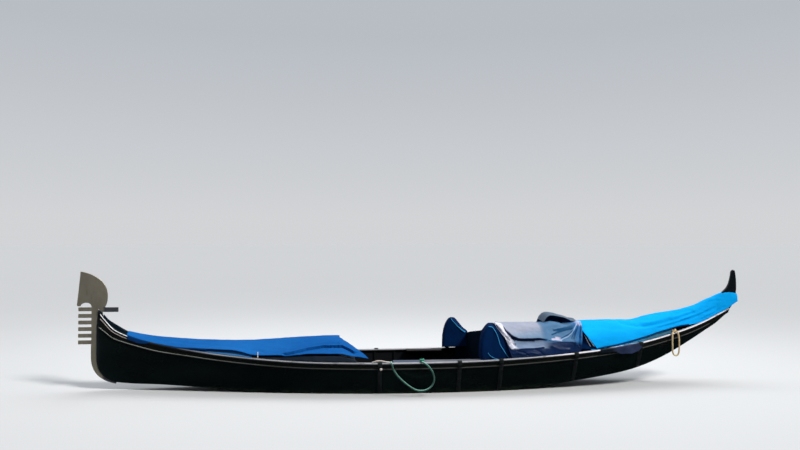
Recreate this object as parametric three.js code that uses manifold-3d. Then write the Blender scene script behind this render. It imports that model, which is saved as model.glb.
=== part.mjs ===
// A gondola moored with its covers on, afloat and unladen.
// Millimetres. +X points to the bow, +Y to port, +Z up. The origin is on the waterline amidships.
import * as THREE from "three";
import { mergeVertices } from "three/addons/utils/BufferGeometryUtils.js";
import Module from "manifold-3d";

// Driving dimensions of the hull
const PORT_HALF_BEAM = 810;
const STARBOARD_HALF_BEAM = 610;
const PORT_HALF_BOTTOM = 560;
const STARBOARD_HALF_BOTTOM = 400;
const SHEER_REACH_BOW = 5160;
const SHEER_REACH_STERN = 5400;
const CHINE_REACH_BOW = 4900;
const CHINE_REACH_STERN = 5050;
const PLAN_FULLNESS = 1.12;
const SIDE_THICKNESS = 18;
const SIDE_BULGE = 14;
const BOTTOM_THICKNESS = 20;
const POST_HALF = 22;
const GAP = 0.4;

// Gunwale cap, rub strip and fender straps
const GUNWALE_WIDTH = 62;
const GUNWALE_OVERHANG = 8;
const GUNWALE_HEIGHT = 38;
const GUNWALE_BOW_END = 5085;
const GUNWALE_STERN_END = -5270;
const RUB_DROP = 100;
const RUB_BOW_START = 4200;
const RUB_BOW_RUN = 800;
const RUB_BOW_DROP = 105;
const RUB_DEPTH = 14;
const RUB_HEIGHT = 20;
const STRAP_WIDTH = 66;
const STRAP_THICKNESS = 7;
const STRAP_LOW_END = 30;

// Decks, frames and floor
const DECK_THICKNESS = 14;
const DECK_SINK = 10;
const BOW_DECK_AFT_END = 3200;
const STERN_DECK_FORE_END = -3150;
const TIMBER_HEIGHT = 42;
const TIMBER_WIDTH = 30;
const RIB_DEPTH = 30;
const RIB_PITCH = 330;
const WELL_FORE_END = 3050;
const WELL_AFT_END = -3000;
const BOARD_THICKNESS = 15;

// Where the lengths of the hull's long pieces meet
const AFT_JOINT = -1150;
const FORE_JOINT = 1150;
const BOW_JOINT = 2500;

// Ropes and covers
const ROPE_RADIUS = 12.5;
const COVER_THICKNESS = 10;
const REST_GAP = 4;

// Height of the gunwale's top above the water: x, z
const SHEER_ROWS = [
  [-5400, 1262], [-5250, 1203], [-4700, 985], [-4100, 822], [-3500, 703], [-2800, 622], [-2000, 566],
  [-1000, 521], [0, 505], [1000, 504], [2000, 527], [3000, 603], [3800, 703], [4400, 815], [4800, 953],
  [5000, 1142], [5110, 1290],
];
// Height of the bottom's edge above the water: x, z. Past 4750 it climbs with the stem.
const CHINE_ROWS = [
  [-5400, 1262 - 40], [-5200, 1105], [-5000, 945], [-4500, 665], [-4000, 430], [-3500, 268], [-3000, 180],
  [-2000, 62], [-1000, -50], [0, -118], [1000, -108], [2000, -34], [3000, 46], [4000, 98], [4750, 118],
  [4900, 180], [5000, 255], [5110, 420],
];

// A smooth curve through rows of [x, value]
function through(rows) {
  const last = rows.length - 1;
  const slopes = rows.map((row, i) => {
    const before = rows[Math.max(i - 1, 0)];
    const after = rows[Math.min(i + 1, last)];
    return (after[1] - before[1]) / (after[0] - before[0]);
  });
  return (x) => {
    const found = rows.findIndex((row) => row[0] >= x);
    const i = found < 0 ? last : Math.max(found, 1);
    const [x0, a] = rows[i - 1];
    const [x1, b] = rows[i];
    const width = x1 - x0;
    const t = THREE.MathUtils.clamp((x - x0) / width, 0, 1);
    const bend = slopes[i - 1] * width * t * (1 - t) ** 2 - slopes[i] * width * t * t * (1 - t);
    return a + (b - a) * t * t * (3 - 2 * t) + bend;
  };
}

// Equal steps from a to b, both ends included
function steps(a, b, count) {
  return Array.from({ length: count + 1 }, (_, i) => a + ((b - a) * i) / count);
}

// Stations of the hull, closer together where the ends curve. Between them every long piece is straight.
const STATIONS = [
  ...steps(-5400, -4600, 6), ...steps(-4300, -2800, 5), ...steps(-2400, 2400, 12),
  ...steps(2750, 4150, 4), ...steps(4400, 4800, 3), ...steps(4880, 5120, 4),
];

function span(from, to) {
  return [from, ...STATIONS.filter((x) => x > from + 20 && x < to - 20), to];
}

function straightened(curve) {
  return (x) => {
    const found = STATIONS.findIndex((station) => station >= x);
    const i = found < 0 ? STATIONS.length - 1 : Math.max(found, 1);
    const [x0, x1] = [STATIONS[i - 1], STATIONS[i]];
    return THREE.MathUtils.lerp(curve(x0), curve(x1), (x - x0) / (x1 - x0));
  };
}

// 1 amidships, falling to 0 at the reach of that end
function planShape(x, bowReach, sternReach) {
  const reach = x > 0 ? bowReach : sternReach;
  return Math.max(0, 1 - (x / reach) ** 2) ** PLAN_FULLNESS;
}

const sheerPlan = straightened((x) => planShape(x, SHEER_REACH_BOW, SHEER_REACH_STERN));
const chinePlan = straightened((x) => planShape(x, CHINE_REACH_BOW, CHINE_REACH_STERN));
const sheerZ = straightened(through(SHEER_ROWS));
const chineZ = straightened(through(CHINE_ROWS));

// Half breadths, outside of the planking; side is 1 to port and -1 to starboard
const LEAST_HALF = POST_HALF + GAP + 8;

function sheerHalf(x, side) {
  const beam = side > 0 ? PORT_HALF_BEAM : STARBOARD_HALF_BEAM;
  return Math.max(beam * sheerPlan(x), LEAST_HALF);
}

function chineHalf(x, side) {
  const beam = side > 0 ? PORT_HALF_BOTTOM : STARBOARD_HALF_BOTTOM;
  return Math.max(beam * chinePlan(x), LEAST_HALF);
}

function sideHalf(x, z, side) {
  const t = (z - chineZ(x)) / (sheerZ(x) - chineZ(x));
  const half = THREE.MathUtils.lerp(chineHalf(x, side), sheerHalf(x, side), t);
  const room = THREE.MathUtils.smoothstep(half, POST_HALF + 10, 200);
  return half + SIDE_BULGE * room * Math.sin(Math.PI * THREE.MathUtils.clamp(t, 0, 1));
}

function sideInnerHalf(x, z, side) {
  return Math.max(sideHalf(x, z, side) - SIDE_THICKNESS, POST_HALF + GAP);
}

function gunwaleInnerHalf(x, side) {
  return Math.max(sheerHalf(x, side) - GUNWALE_WIDTH, POST_HALF + GAP);
}

function facingOut(geometry) {
  const p = geometry.attributes.position;
  const index = geometry.index.array;
  const [a, b, c] = [new THREE.Vector3(), new THREE.Vector3(), new THREE.Vector3()];
  let volume = 0;
  for (let i = 0; i < index.length; i += 3) {
    a.fromBufferAttribute(p, index[i]);
    b.fromBufferAttribute(p, index[i + 1]);
    c.fromBufferAttribute(p, index[i + 2]);
    volume += a.dot(b.cross(c));
  }
  if (volume < 0) {
    for (let i = 0; i < index.length; i += 3) {
      [index[i + 1], index[i + 2]] = [index[i + 2], index[i + 1]];
    }
  }
  return geometry;
}

// A closed solid between two grids of points, outer(u, v) and inner(u, v)
function shell(us, vs, outer, inner) {
  const points = [];
  const faces = [];
  const columns = vs.length;
  const layer = us.length * columns;
  for (const surface of [outer, inner]) {
    for (const u of us) for (const v of vs) points.push(...surface(u, v));
  }
  const quad = (a, b, c, d) => faces.push(a, b, c, a, c, d);
  for (let i = 0; i + 1 < us.length; i++) {
    for (let j = 0; j + 1 < columns; j++) {
      const a = i * columns + j;
      quad(a, a + columns, a + columns + 1, a + 1);
      quad(layer + a, layer + a + 1, layer + a + columns + 1, layer + a + columns);
    }
  }
  for (let i = 0; i + 1 < us.length; i++) {
    const low = i * columns;
    const high = low + columns - 1;
    quad(low, layer + low, layer + low + columns, low + columns);
    quad(high, high + columns, layer + high + columns, layer + high);
  }
  for (let j = 0; j + 1 < columns; j++) {
    const far = (us.length - 1) * columns + j;
    quad(j, j + 1, layer + j + 1, layer + j);
    quad(far, layer + far, layer + far + 1, far + 1);
  }
  const geometry = new THREE.BufferGeometry();
  geometry.setAttribute("position", new THREE.Float32BufferAttribute(points, 3));
  geometry.setIndex(faces);
  return facingOut(geometry);
}

const wasm = await Module();
wasm.setup();

function solidOf(geometry) {
  const bare = geometry.clone();
  bare.deleteAttribute("normal");
  bare.deleteAttribute("uv");
  const merged = mergeVertices(bare, 1e-3);
  const vertProperties = merged.attributes.position.array;
  const triVerts = new Uint32Array(merged.index.array);
  return new wasm.Manifold(new wasm.Mesh({ numProp: 3, vertProperties, triVerts }));
}

function geometryOf(solid) {
  const mesh = solid.getMesh();
  const geometry = new THREE.BufferGeometry();
  geometry.setAttribute("position", new THREE.Float32BufferAttribute(mesh.vertProperties, 3));
  geometry.setIndex([...mesh.triVerts]);
  return geometry;
}

function joined(geometries) {
  return geometryOf(geometries.map(solidOf).reduce((sum, solid) => sum.add(solid)));
}

// A plate standing on the centreline, from a shape drawn in x and z
function centrePlate(shape, halfThickness, curveSegments = 6) {
  const options = { depth: 2 * halfThickness, bevelEnabled: false, curveSegments };
  const geometry = new THREE.ExtrudeGeometry(shape, options);
  geometry.translate(0, 0, -halfThickness);
  geometry.rotateX(Math.PI / 2);
  return geometry;
}

// Finishes: colour, roughness, metalness
const lacquer = { color: 0x0b0d10, roughness: 0.18, metalness: 0 };
const wornRail = { color: 0x8f8a8c, roughness: 0.5, metalness: 0 };
const darkWood = { color: 0x14181c, roughness: 0.45, metalness: 0 };
const iron = { color: 0x7b786a, roughness: 0.4, metalness: 0.9 };
const rubber = { color: 0x16181a, roughness: 0.7, metalness: 0 };
const blueCanvas = { color: 0x2a6fb4, roughness: 0.8, metalness: 0 };
const navyCanvas = { color: 0x163a66, roughness: 0.85, metalness: 0 };
const coatedCloth = { color: 0x2b3350, roughness: 0.3, metalness: 0 };
const cyanCanvas = { color: 0x1a8fd6, roughness: 0.75, metalness: 0 };
const greenRope = { color: 0x3fa688, roughness: 0.9, metalness: 0 };
const tanRope = { color: 0xb89a6a, roughness: 0.9, metalness: 0 };

const gondola = new THREE.Group();

function add(name, geometry, finish) {
  const mesh = new THREE.Mesh(geometry, new THREE.MeshStandardMaterial(finish));
  mesh.name = name;
  gondola.add(mesh);
}

const SIDES = [
  { name: "port", side: 1 },
  { name: "starboard", side: -1 },
];

// A long piece in its lengths, from aft: joints are the x where one ends and the next begins
function lengths(from, joints, to, names) {
  const ends = [from, ...joints, to];
  return names.map((part, i) => ({ part, from: ends[i] + (i ? GAP : 0), to: ends[i + 1] }));
}

// Bottom planking, flat athwart and curved lengthwise, between the side planks
const bottomEdge = (x, side) => chineHalf(x, side) - SIDE_THICKNESS - 2;
for (const { part, from, to } of lengths(-4780, [AFT_JOINT, FORE_JOINT], 4640, ["aft", "middle", "fore"])) {
  add(
    `bottom_planking_${part}`,
    shell(
      span(from, to),
      [-1, 0, 1],
      (x, v) => [x, v * bottomEdge(x, v), chineZ(x)],
      (x, v) => [x, v * bottomEdge(x, v), chineZ(x) + BOTTOM_THICKNESS],
    ),
    lacquer,
  );
}

// Side planking
const SIDE_LEVELS = [0, 0.25, 0.5, 0.75, 1];
const plankTop = (x) => sheerZ(x) - GUNWALE_HEIGHT - GAP;
const plankZ = (x, level) => THREE.MathUtils.lerp(chineZ(x), plankTop(x), level);
const sideLengths = lengths(GUNWALE_STERN_END + 10, [FORE_JOINT, BOW_JOINT], 5060, ["aft", "middle", "fore"]);
for (const { name, side } of SIDES) {
  for (const { part, from, to } of sideLengths) {
    add(
      `side_planking_${name}_${part}`,
      shell(
        span(from, to),
        SIDE_LEVELS,
        (x, level) => [x, side * sideHalf(x, plankZ(x, level), side), plankZ(x, level)],
        (x, level) => [x, side * sideInnerHalf(x, plankZ(x, level), side), plankZ(x, level)],
      ),
      lacquer,
    );
  }
}

// Stem post, whose fore edge turns round the heel
const stem = new THREE.Shape();
stem.moveTo(4700, 121);
stem.lineTo(4800, 122);
stem.quadraticCurveTo(5112, 190, 5112, 520);
stem.lineTo(5112, 1000);
stem.lineTo(5088, 1264);
stem.lineTo(5030, 1227);
stem.lineTo(4990, 1000);
stem.lineTo(4980, 520);
stem.quadraticCurveTo(4970, 300, 4760, 240);
stem.lineTo(4700, 230);
stem.closePath();
add("stem_post", centrePlate(stem, POST_HALF), lacquer);

// Stern post, which ends in a tall thin horn
const stern = new THREE.Shape();
stern.moveTo(-4830, 835);
stern.quadraticCurveTo(-5130, 995, -5323, 1245);
stern.quadraticCurveTo(-5412, 1380, -5412, 1600);
stern.quadraticCurveTo(-5410, 1760, -5388, 1846);
stern.quadraticCurveTo(-5350, 1880, -5320, 1826);
stern.quadraticCurveTo(-5292, 1600, -5213, 1534);
stern.quadraticCurveTo(-5140, 1460, -5070, 1412);
stern.quadraticCurveTo(-5030, 1200, -4830, 980);
stern.closePath();
add("stern_post", centrePlate(stern, POST_HALF), lacquer);

// Bow iron: one plate with the blade, six teeth forward, one tooth aft and a strip down the stem
const IRON_HALF = 9;
const STRIP_AFT = 5112 + GAP;
const STRIP_FORE = 5196;
const TOOTH_TIP = 5398;
const TOOTH_TOP = 1303;
const TOOTH_PITCH = 104;
const TOOTH_HEIGHT = 62;
const TEETH = 6;
const ironShape = new THREE.Shape();
ironShape.moveTo(4812, 96);
ironShape.quadraticCurveTo(5196, 170, 5200, 520);
ironShape.lineTo(5200, 690);
ironShape.lineTo(STRIP_FORE, 716);
for (let i = TEETH - 1; i >= 0; i--) {
  const top = TOOTH_TOP - i * TOOTH_PITCH;
  const low = top - TOOTH_HEIGHT;
  ironShape.lineTo(STRIP_FORE, low);
  ironShape.lineTo(TOOTH_TIP - 10, low);
  ironShape.quadraticCurveTo(TOOTH_TIP, low, TOOTH_TIP, low + 12);
  ironShape.lineTo(TOOTH_TIP, top - 12);
  ironShape.quadraticCurveTo(TOOTH_TIP, top, TOOTH_TIP - 10, top);
  ironShape.lineTo(STRIP_FORE, top);
}
ironShape.quadraticCurveTo(5200, 1372, 5276, 1374);
ironShape.quadraticCurveTo(5352, 1372, 5368, 1322);
ironShape.lineTo(5402, 1318);
ironShape.quadraticCurveTo(5424, 1330, 5420, 1345);
ironShape.quadraticCurveTo(5392, 1600, 5368, 1868);
ironShape.quadraticCurveTo(5180, 1840, 5040, 1716);
ironShape.quadraticCurveTo(4948, 1620, 4948, 1480);
ironShape.quadraticCurveTo(4950, 1362, 4992, 1301);
ironShape.lineTo(4784, 1301);
ironShape.lineTo(4784, 1235);
ironShape.quadraticCurveTo(4784, 1227, 4792, 1227);
ironShape.lineTo(5020, 1227);
ironShape.lineTo(5094, 1276);
ironShape.lineTo(STRIP_AFT, 1000);
ironShape.lineTo(STRIP_AFT, 520);
ironShape.quadraticCurveTo(STRIP_AFT, 190 - GAP, 4800, 122 - GAP);
ironShape.closePath();
add("bow_iron", centrePlate(ironShape, IRON_HALF), iron);

// Gunwale caps
const gunwaleOuterHalf = (x, side) => sheerHalf(x, side) + GUNWALE_OVERHANG;
const gunwaleHalf = (x, side, v) => (v ? gunwaleOuterHalf(x, side) : gunwaleInnerHalf(x, side));
for (const { name, side } of SIDES) {
  add(
    `gunwale_${name}`,
    shell(
      span(GUNWALE_STERN_END, GUNWALE_BOW_END),
      [0, 1],
      (x, v) => [x, side * gunwaleHalf(x, side, v), sheerZ(x)],
      (x, v) => [x, side * gunwaleHalf(x, side, v), sheerZ(x) - GUNWALE_HEIGHT],
    ),
    wornRail,
  );
}

// Rub strips, a hand below the gunwale and further below it at the bow
const rubFall = (x) => RUB_DROP + RUB_BOW_DROP * Math.max(0, (x - RUB_BOW_START) / RUB_BOW_RUN) ** 4;
const rubZ = (x) => sheerZ(x) - rubFall(x);
for (const { name, side } of SIDES) {
  const face = (x, z, off) => [x, side * (sideHalf(x, z, side) + off), z];
  const rubEdge = (x, v) => rubZ(x) + (v * RUB_HEIGHT) / 2;
  add(
    `rub_strip_${name}`,
    shell(
      span(-4900, 5066),
      [-1, 1],
      (x, v) => face(x, rubEdge(x, v * 0.6), RUB_DEPTH),
      (x, v) => face(x, rubEdge(x, v), 2.5),
    ),
    wornRail,
  );
}

// Decks, peaked along the centreline. ridge: x, height of the ridge above the gunwale
const DECKS = [
  {
    name: "bow_deck",
    from: BOW_DECK_AFT_END,
    to: 5004,
    ridge: [[3200, 95], [4300, 50], [4620, 52], [4760, 74], [4850, 75], [4930, 50], [5004, 54]],
  },
  {
    name: "stern_deck",
    from: -4890,
    to: STERN_DECK_FORE_END,
    ridge: [[-4890, 110], [-4300, 130], [-3150, 105]],
  },
];
for (const { name, from, to, ridge } of DECKS) {
  const rise = through(ridge);
  const deckY = (x, v) => v * (gunwaleInnerHalf(x, Math.sign(v) || 1) - GAP);
  const deckZ = (x, v) => sheerZ(x) - DECK_SINK + rise(x) * (1 - Math.abs(v) ** 1.6);
  add(
    name,
    shell(
      span(from, to),
      [-1, -0.6, -0.25, 0, 0.25, 0.6, 1],
      (x, v) => [x, deckY(x, v), deckZ(x, v)],
      (x, v) => [x, deckY(x, v), deckZ(x, v) - DECK_THICKNESS],
    ),
    lacquer,
  );
}

// Beams under the decks' open ends and the thwart, each across the whole hull between the planks
// x of the fore face, length along x, height of the top at the sides and rise at the middle, depth
const BEAMS = [
  { name: "bow_deck_beam", x: 3190, length: 30, top: sheerZ(3190) - 42, rise: 70, depth: 90 },
  { name: "stern_deck_beam", x: -3110, length: 30, top: sheerZ(-3110) - 42, rise: 80, depth: 90 },
  { name: "thwart", x: 1230, length: 190, top: 440, rise: 0, depth: 30 },
];
for (const { name, x, length, top, rise, depth } of BEAMS) {
  const beamY = (px, z, v) => v * (sideInnerHalf(px, z, Math.sign(v) || 1) - RIB_DEPTH - 4);
  const beamZ = (v) => top + rise * (1 - v * v);
  add(
    name,
    shell(
      [x - length, x],
      [-1, -0.5, 0, 0.5, 1],
      (px, v) => [px, beamY(x, top - depth, v), beamZ(v)],
      (px, v) => [px, beamY(x, top - depth, v), beamZ(v) - depth],
    ),
    darkWood,
  );
}

// Floor timbers, joined by the keelson
const bottomTop = (x) => chineZ(x) + BOTTOM_THICKNESS + GAP;
const timberTop = (x) => bottomTop(x) + TIMBER_HEIGHT;
const ribPlaces = steps(WELL_AFT_END, WELL_FORE_END, Math.round((WELL_FORE_END - WELL_AFT_END) / RIB_PITCH));
const timberEdge = (x, side) => bottomEdge(x, side) - 4;
const lowest = (x, half) => Math.max(bottomTop(x - half), bottomTop(x + half), bottomTop(x));
const timbers = ribPlaces.map((x) =>
  shell(
    [x - TIMBER_WIDTH / 2, x + TIMBER_WIDTH / 2],
    [-1, 0, 1],
    (px, v) => [px, v * timberEdge(x, v), timberTop(x)],
    (px, v) => [px, v * timberEdge(x, v), lowest(x, TIMBER_WIDTH / 2)],
  ),
);
const frameLengths = lengths(WELL_AFT_END, [FORE_JOINT], WELL_FORE_END, ["aft", "fore"]);
const within = (pieces, from, to) => pieces.filter((_, i) => ribPlaces[i] >= from && ribPlaces[i] <= to);
for (const { part, from, to } of frameLengths) {
  const keelson = shell(
    span(from, to),
    [-45, 45],
    (x, y) => [x, y, timberTop(x) - 4],
    (x, y) => [x, y, timberTop(x) - 22],
  );
  add(`floor_timbers_${part}`, joined([...within(timbers, from, to), keelson]), darkWood);
}

// Ribs up the sides, joined by the stringer that runs along them
const stringerZ = (x) => THREE.MathUtils.lerp(timberTop(x), plankTop(x), 0.62);
for (const { name, side } of SIDES) {
  const ribAt = (x, z, inset) => side * (sideInnerHalf(x, z, side) - inset);
  const ribs = ribPlaces.map((x) =>
    shell(
      steps(0, 1, 3),
      [x - 13, x + 13],
      (t, px) => {
        const z = THREE.MathUtils.lerp(timberTop(x) + 10, plankTop(x) - 8, t);
        return [px, ribAt(x, z, 5), z];
      },
      (t, px) => {
        const z = THREE.MathUtils.lerp(timberTop(x) + 10, plankTop(x) - 8, t);
        return [px, ribAt(x, z, RIB_DEPTH), z];
      },
    ),
  );
  for (const { part, from, to } of frameLengths) {
    const stringer = shell(
      span(from, to),
      [-30, 30],
      (x, v) => [x, ribAt(x, stringerZ(x) + v, RIB_DEPTH - 12), stringerZ(x) + v],
      (x, v) => [x, ribAt(x, stringerZ(x) + v, RIB_DEPTH + 3), stringerZ(x) + v],
    );
    add(`ribs_${name}_${part}`, joined([...within(ribs, from, to), stringer]), darkWood);
  }
}

// Floorboards on the timbers: panels of three widths with slots between them, on two battens each
const BOARD_WIDTHS = [[-0.9, -0.34], [-0.3, 0.3], [0.34, 0.9]];
const BOARD_LIFT = 6;
const BATTEN_WIDTH = 60;
const bays = ribPlaces.slice(1).map((x, i) => (x + ribPlaces[i]) / 2);
const boardY = (x, v) => v * timberEdge(x, Math.sign(v));
const boardZ = (x) => timberTop(x) + BOARD_LIFT;
const board = (xs, widths, top, low) =>
  shell(
    xs,
    widths,
    (x, v) => [x, boardY(x, v), boardZ(x) + top],
    (x, v) => [x, boardY(x, v), boardZ(x) + low],
  );
for (const { part, from, to } of lengths(-2900, [AFT_JOINT, FORE_JOINT], 2900, ["aft", "middle", "fore"])) {
  const inside = bays.filter((x) => x - BATTEN_WIDTH > from && x + BATTEN_WIDTH < to);
  const battens = [inside[0], inside[inside.length - 1]].map((x) =>
    board([x - BATTEN_WIDTH / 2, x + BATTEN_WIDTH / 2], [-0.88, 0.88], 2, 1 - BOARD_LIFT),
  );
  const boards = BOARD_WIDTHS.map((widths) => board(span(from, to), widths, BOARD_THICKNESS, 0));
  add(`floorboards_${part}`, joined([...boards, ...battens]), darkWood);
}

// Side boards level with the gunwale, just forward of the chairs
const SIDE_BOARDS = [
  { name: "port", side: 1, from: -950, to: 460, width: 200 },
  { name: "starboard", side: -1, from: -430, to: 160, width: 160 },
];
const SIDE_BOARD_TOP = 500;
for (const { name, side, from, to, width } of SIDE_BOARDS) {
  const boardY = (x, v) => side * (gunwaleInnerHalf(x, side) - 2 - v * width);
  add(
    `side_board_${name}`,
    shell(
      span(from, to),
      [0, 1],
      (x, v) => [x, boardY(x, v), SIDE_BOARD_TOP],
      (x, v) => [x, boardY(x, v), SIDE_BOARD_TOP - BOARD_THICKNESS],
    ),
    lacquer,
  );
}

// Fender straps over the gunwale and down the outside, clear of the rub strip
const STRAP_PLACES = [670, -550, -1202, -2430, -3560];
const STRAP_PATH = [
  { z: (x) => rubZ(x) + 12, off: RUB_DEPTH + 2 },
  { z: (x) => rubZ(x) - 12, off: RUB_DEPTH + 2 },
  { z: (x) => rubZ(x) - 60, off: 4 },
  { z: (x) => (rubZ(x) - 60 + Math.max(STRAP_LOW_END, chineZ(x) + 20)) / 2, off: 3 },
  { z: (x) => Math.max(STRAP_LOW_END, chineZ(x) + 20), off: 3 },
];
for (const { name, side } of SIDES) {
  STRAP_PLACES.forEach((place, i) => {
    const skin = (thickness) => (px, v) => {
      const outer = gunwaleOuterHalf(px, side);
      if (v === 0) return [px, side * (gunwaleInnerHalf(px, side) + 6), sheerZ(px) + 1 + thickness];
      if (v === 1) return [px, side * (outer + 3 + thickness), sheerZ(px) + 1 + thickness];
      if (v === 2) return [px, side * (outer + 3 + thickness), sheerZ(px) - GUNWALE_HEIGHT];
      const { z, off } = STRAP_PATH[v - 3];
      return [px, side * (sideHalf(px, z(px), side) + off + thickness), z(px)];
    };
    add(
      `fender_strap_${name}_${i + 1}`,
      shell([place - STRAP_WIDTH / 2, place + STRAP_WIDTH / 2], steps(0, 7, 7), skin(STRAP_THICKNESS), skin(0)),
      rubber,
    );
  });
}

// Covers. Each lies on or above the gunwales; edge points hang from the ridge as a tent does.
function tent({ stations, height, half, centreX = (x) => x }) {
  const across = [-1, -0.8, -0.5, -0.2, 0, 0.2, 0.5, 0.8, 1];
  const surface = (lift) => (x, v) => {
    const side = Math.sign(v) || 1;
    const px = THREE.MathUtils.lerp(centreX(x), x, Math.abs(v));
    return [px, side * half(px, side) * Math.abs(v), height(x, Math.abs(v)) + lift];
  };
  return shell(stations, across, surface(COVER_THICKNESS), surface(0));
}

// Bow cover, whose aft edge slants forward from the gunwales to the ridge. Rows of x, z
const bowRidge = through([
  [850, 790], [1500, 808], [2200, 762], [2800, 752], [3400, 772], [3900, 804], [4300, 858], [4620, 925],
]);
const bowEdge = through([
  [850, 552], [1300, 605], [1700, 616], [2100, 602], [2500, 566], [3000, 614], [3800, 712], [4620, 880],
]);
const bowHeight = (x, v) => THREE.MathUtils.lerp(bowRidge(x), bowEdge(x), v ** 1.5);
const bowSlant = (x) => x + 450 * Math.max(0, (1900 - x) / 1050);
add(
  "bow_cover",
  tent({
    stations: steps(850, 4620, 16),
    height: bowHeight,
    half: (x, side) => Math.max(sheerHalf(x, side) - 20, 40),
    centreX: bowSlant,
  }),
  blueCanvas,
);

// Inner cover of coated cloth, below the bow cover and down to the gunwales
add(
  "inner_cover",
  tent({
    stations: steps(1000, 2350, 7),
    height: (x, v) => (v === 1 ? sheerZ(x) + REST_GAP : bowHeight(x, v) - 45),
    half: (x, side) => sheerHalf(x, side) - 30,
    centreX: bowSlant,
  }),
  coatedCloth,
);

// Seat covers: mounds that reach from gunwale to gunwale and, between the side boards, down to the floor
function mound({ front, back, count, top }) {
  const across = [-1, -0.72, -0.45, -0.15, 0.15, 0.45, 0.72, 1];
  const reach = (x, side) => gunwaleInnerHalf(x, side) - 6;
  const place = (u, v) => {
    const side = Math.sign(v) || 1;
    const x = THREE.MathUtils.lerp(front(v), back, u);
    return [x, v * reach(x, side), side];
  };
  return shell(
    steps(0, 1, count),
    across,
    (u, v) => {
      const [x, y] = place(u, v);
      return [x, y, top(x, y, v)];
    },
    (u, v) => {
      const [x, y] = place(u, v);
      return [x, y, Math.abs(v) > 0.6 ? sheerZ(x) + REST_GAP : timberTop(x) + 60];
    },
  );
}

const bump = (value, centre, spread) => Math.exp(-(((value - centre) / spread) ** 2));
add(
  "chair_cover",
  mound({
    front: (v) => THREE.MathUtils.lerp(-440, -990, (v + 1) / 2),
    back: -1400,
    count: 8,
    top: (x, y, v) => {
      const farHump = 290 * bump(x, -620, 260) * bump(y, -330, 190);
      const nearHump = 300 * bump(x, -1120, 260) * bump(y, 470, 200);
      const edgeDrop = 200 * Math.abs(v) ** 6;
      return Math.max(770 + farHump + nearHump - edgeDrop, 540);
    },
  }),
  navyCanvas,
);
add(
  "seat_cover",
  mound({
    front: () => -1410,
    back: -2060,
    count: 6,
    top: (x, y, v) => 1040 - 30 * bump(x, -1700, 250) - 470 * Math.abs(v) ** 5,
  }),
  coatedCloth,
);
add(
  "seat_back_cover",
  mound({
    front: () => -2070,
    back: -2640,
    count: 5,
    top: (x, y, v) => 1035 + 130 * bump(x, -2120, 190) * bump(y, -80, 420) - 450 * Math.abs(v) ** 5,
  }),
  navyCanvas,
);

// Stern cover: over the deck to the stern post, split there around the horn
const sternRidge = through([
  [-5404, 1400], [-5260, 1478], [-5050, 1425], [-4800, 1315], [-4400, 1200], [-3850, 1090], [-3550, 1030],
  [-3100, 1028], [-2660, 1022],
]);
const sternEdge = through([
  [-5404, 1290], [-5100, 1178], [-4700, 1020], [-4300, 915], [-3700, 770], [-3200, 690], [-2660, 640],
]);
const sternCover = solidOf(
  tent({
    stations: steps(-5404, -2660, 18),
    height: (x, v) => THREE.MathUtils.lerp(sternRidge(x), sternEdge(x), v ** 2.2),
    half: (x, side) => Math.max(sheerHalf(x, side) - 16, 52),
  }),
);
const hornRoom = solidOf(centrePlate(stern, POST_HALF + 3));
add("stern_cover", geometryOf(sternCover.subtract(hornRoom)), cyanCanvas);

// Ropes: each loop hangs from turns of rope made fast on the gunwale
function ropeTurns(name, x, finish) {
  const turnRadius = 30;
  const section = steps(0, 2 * Math.PI, 8).map(
    (a) => new THREE.Vector2(turnRadius + ROPE_RADIUS * Math.cos(a), ROPE_RADIUS * Math.sin(a)),
  );
  const geometry = new THREE.LatheGeometry(section.reverse(), 14);
  geometry.rotateX(Math.PI / 2);
  geometry.rotateY(-Math.atan((sheerZ(x + turnRadius) - sheerZ(x - turnRadius)) / (2 * turnRadius)));
  geometry.translate(x, sheerHalf(x, 1) - 30, sheerZ(x) + ROPE_RADIUS + 2);
  add(name, facingOut(mergeVertices(bare(geometry), 1e-3)), finish);
}

function bare(geometry) {
  geometry.deleteAttribute("normal");
  geometry.deleteAttribute("uv");
  return geometry;
}

function rope(name, points, stepsAlong, finish, radius = ROPE_RADIUS) {
  const path = new THREE.CatmullRomCurve3(points.map((p) => new THREE.Vector3(...p)), false, "centripetal");
  const section = new THREE.Shape();
  section.absarc(0, 0, radius, 0, 2 * Math.PI);
  const options = { steps: stepsAlong, extrudePath: path, curveSegments: 5 };
  add(name, new THREE.ExtrudeGeometry(section, options), finish);
}

ropeTurns("rope_turns_aft", 30, greenRope);
ropeTurns("rope_turns_stern", -4190, tanRope);

// The fore turns: a thin line lying on the gunwale as a long bight, over the first strap and back: x, y, z
const BIGHT_RADIUS = 8;
const BIGHT_ROUTE = [
  [506, 796, 516], [552, 801, 519], [610, 804, 530], [665, 804, 541], [720, 800, 538], [765, 792, 522],
  [788, 780, 515], [775, 767, 515], [730, 763, 524], [668, 764, 527], [600, 768, 520], [526, 774, 515],
];
rope("rope_turns_fore", BIGHT_ROUTE, 26, tanRope, BIGHT_RADIUS);

// Route of the mooring loop, over the gunwale from the fore turns to the aft turns: x, y, z
const MOORING_ROUTE = [
  [500, 815, 519], [499, 828, 518], [497, 843, 512], [493, 855, 498], [488, 862, 474], [480, 864, 444],
  [468, 864, 412], [446, 864, 374], [412, 864, 326], [366, 864, 276], [310, 864, 224], [246, 864, 174],
  [190, 864, 136], [130, 864, 104], [60, 864, 92], [-8, 864, 98], [-68, 864, 124], [-114, 864, 168],
  [-140, 864, 224], [-146, 864, 286], [-132, 864, 346], [-104, 864, 400], [-70, 863, 446], [-34, 860, 482],
  [0, 851, 505], [20, 838, 516], [29, 827, 519], [30, 823, 519.5],
];
rope("mooring_loop", MOORING_ROUTE, 40, greenRope);

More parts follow.
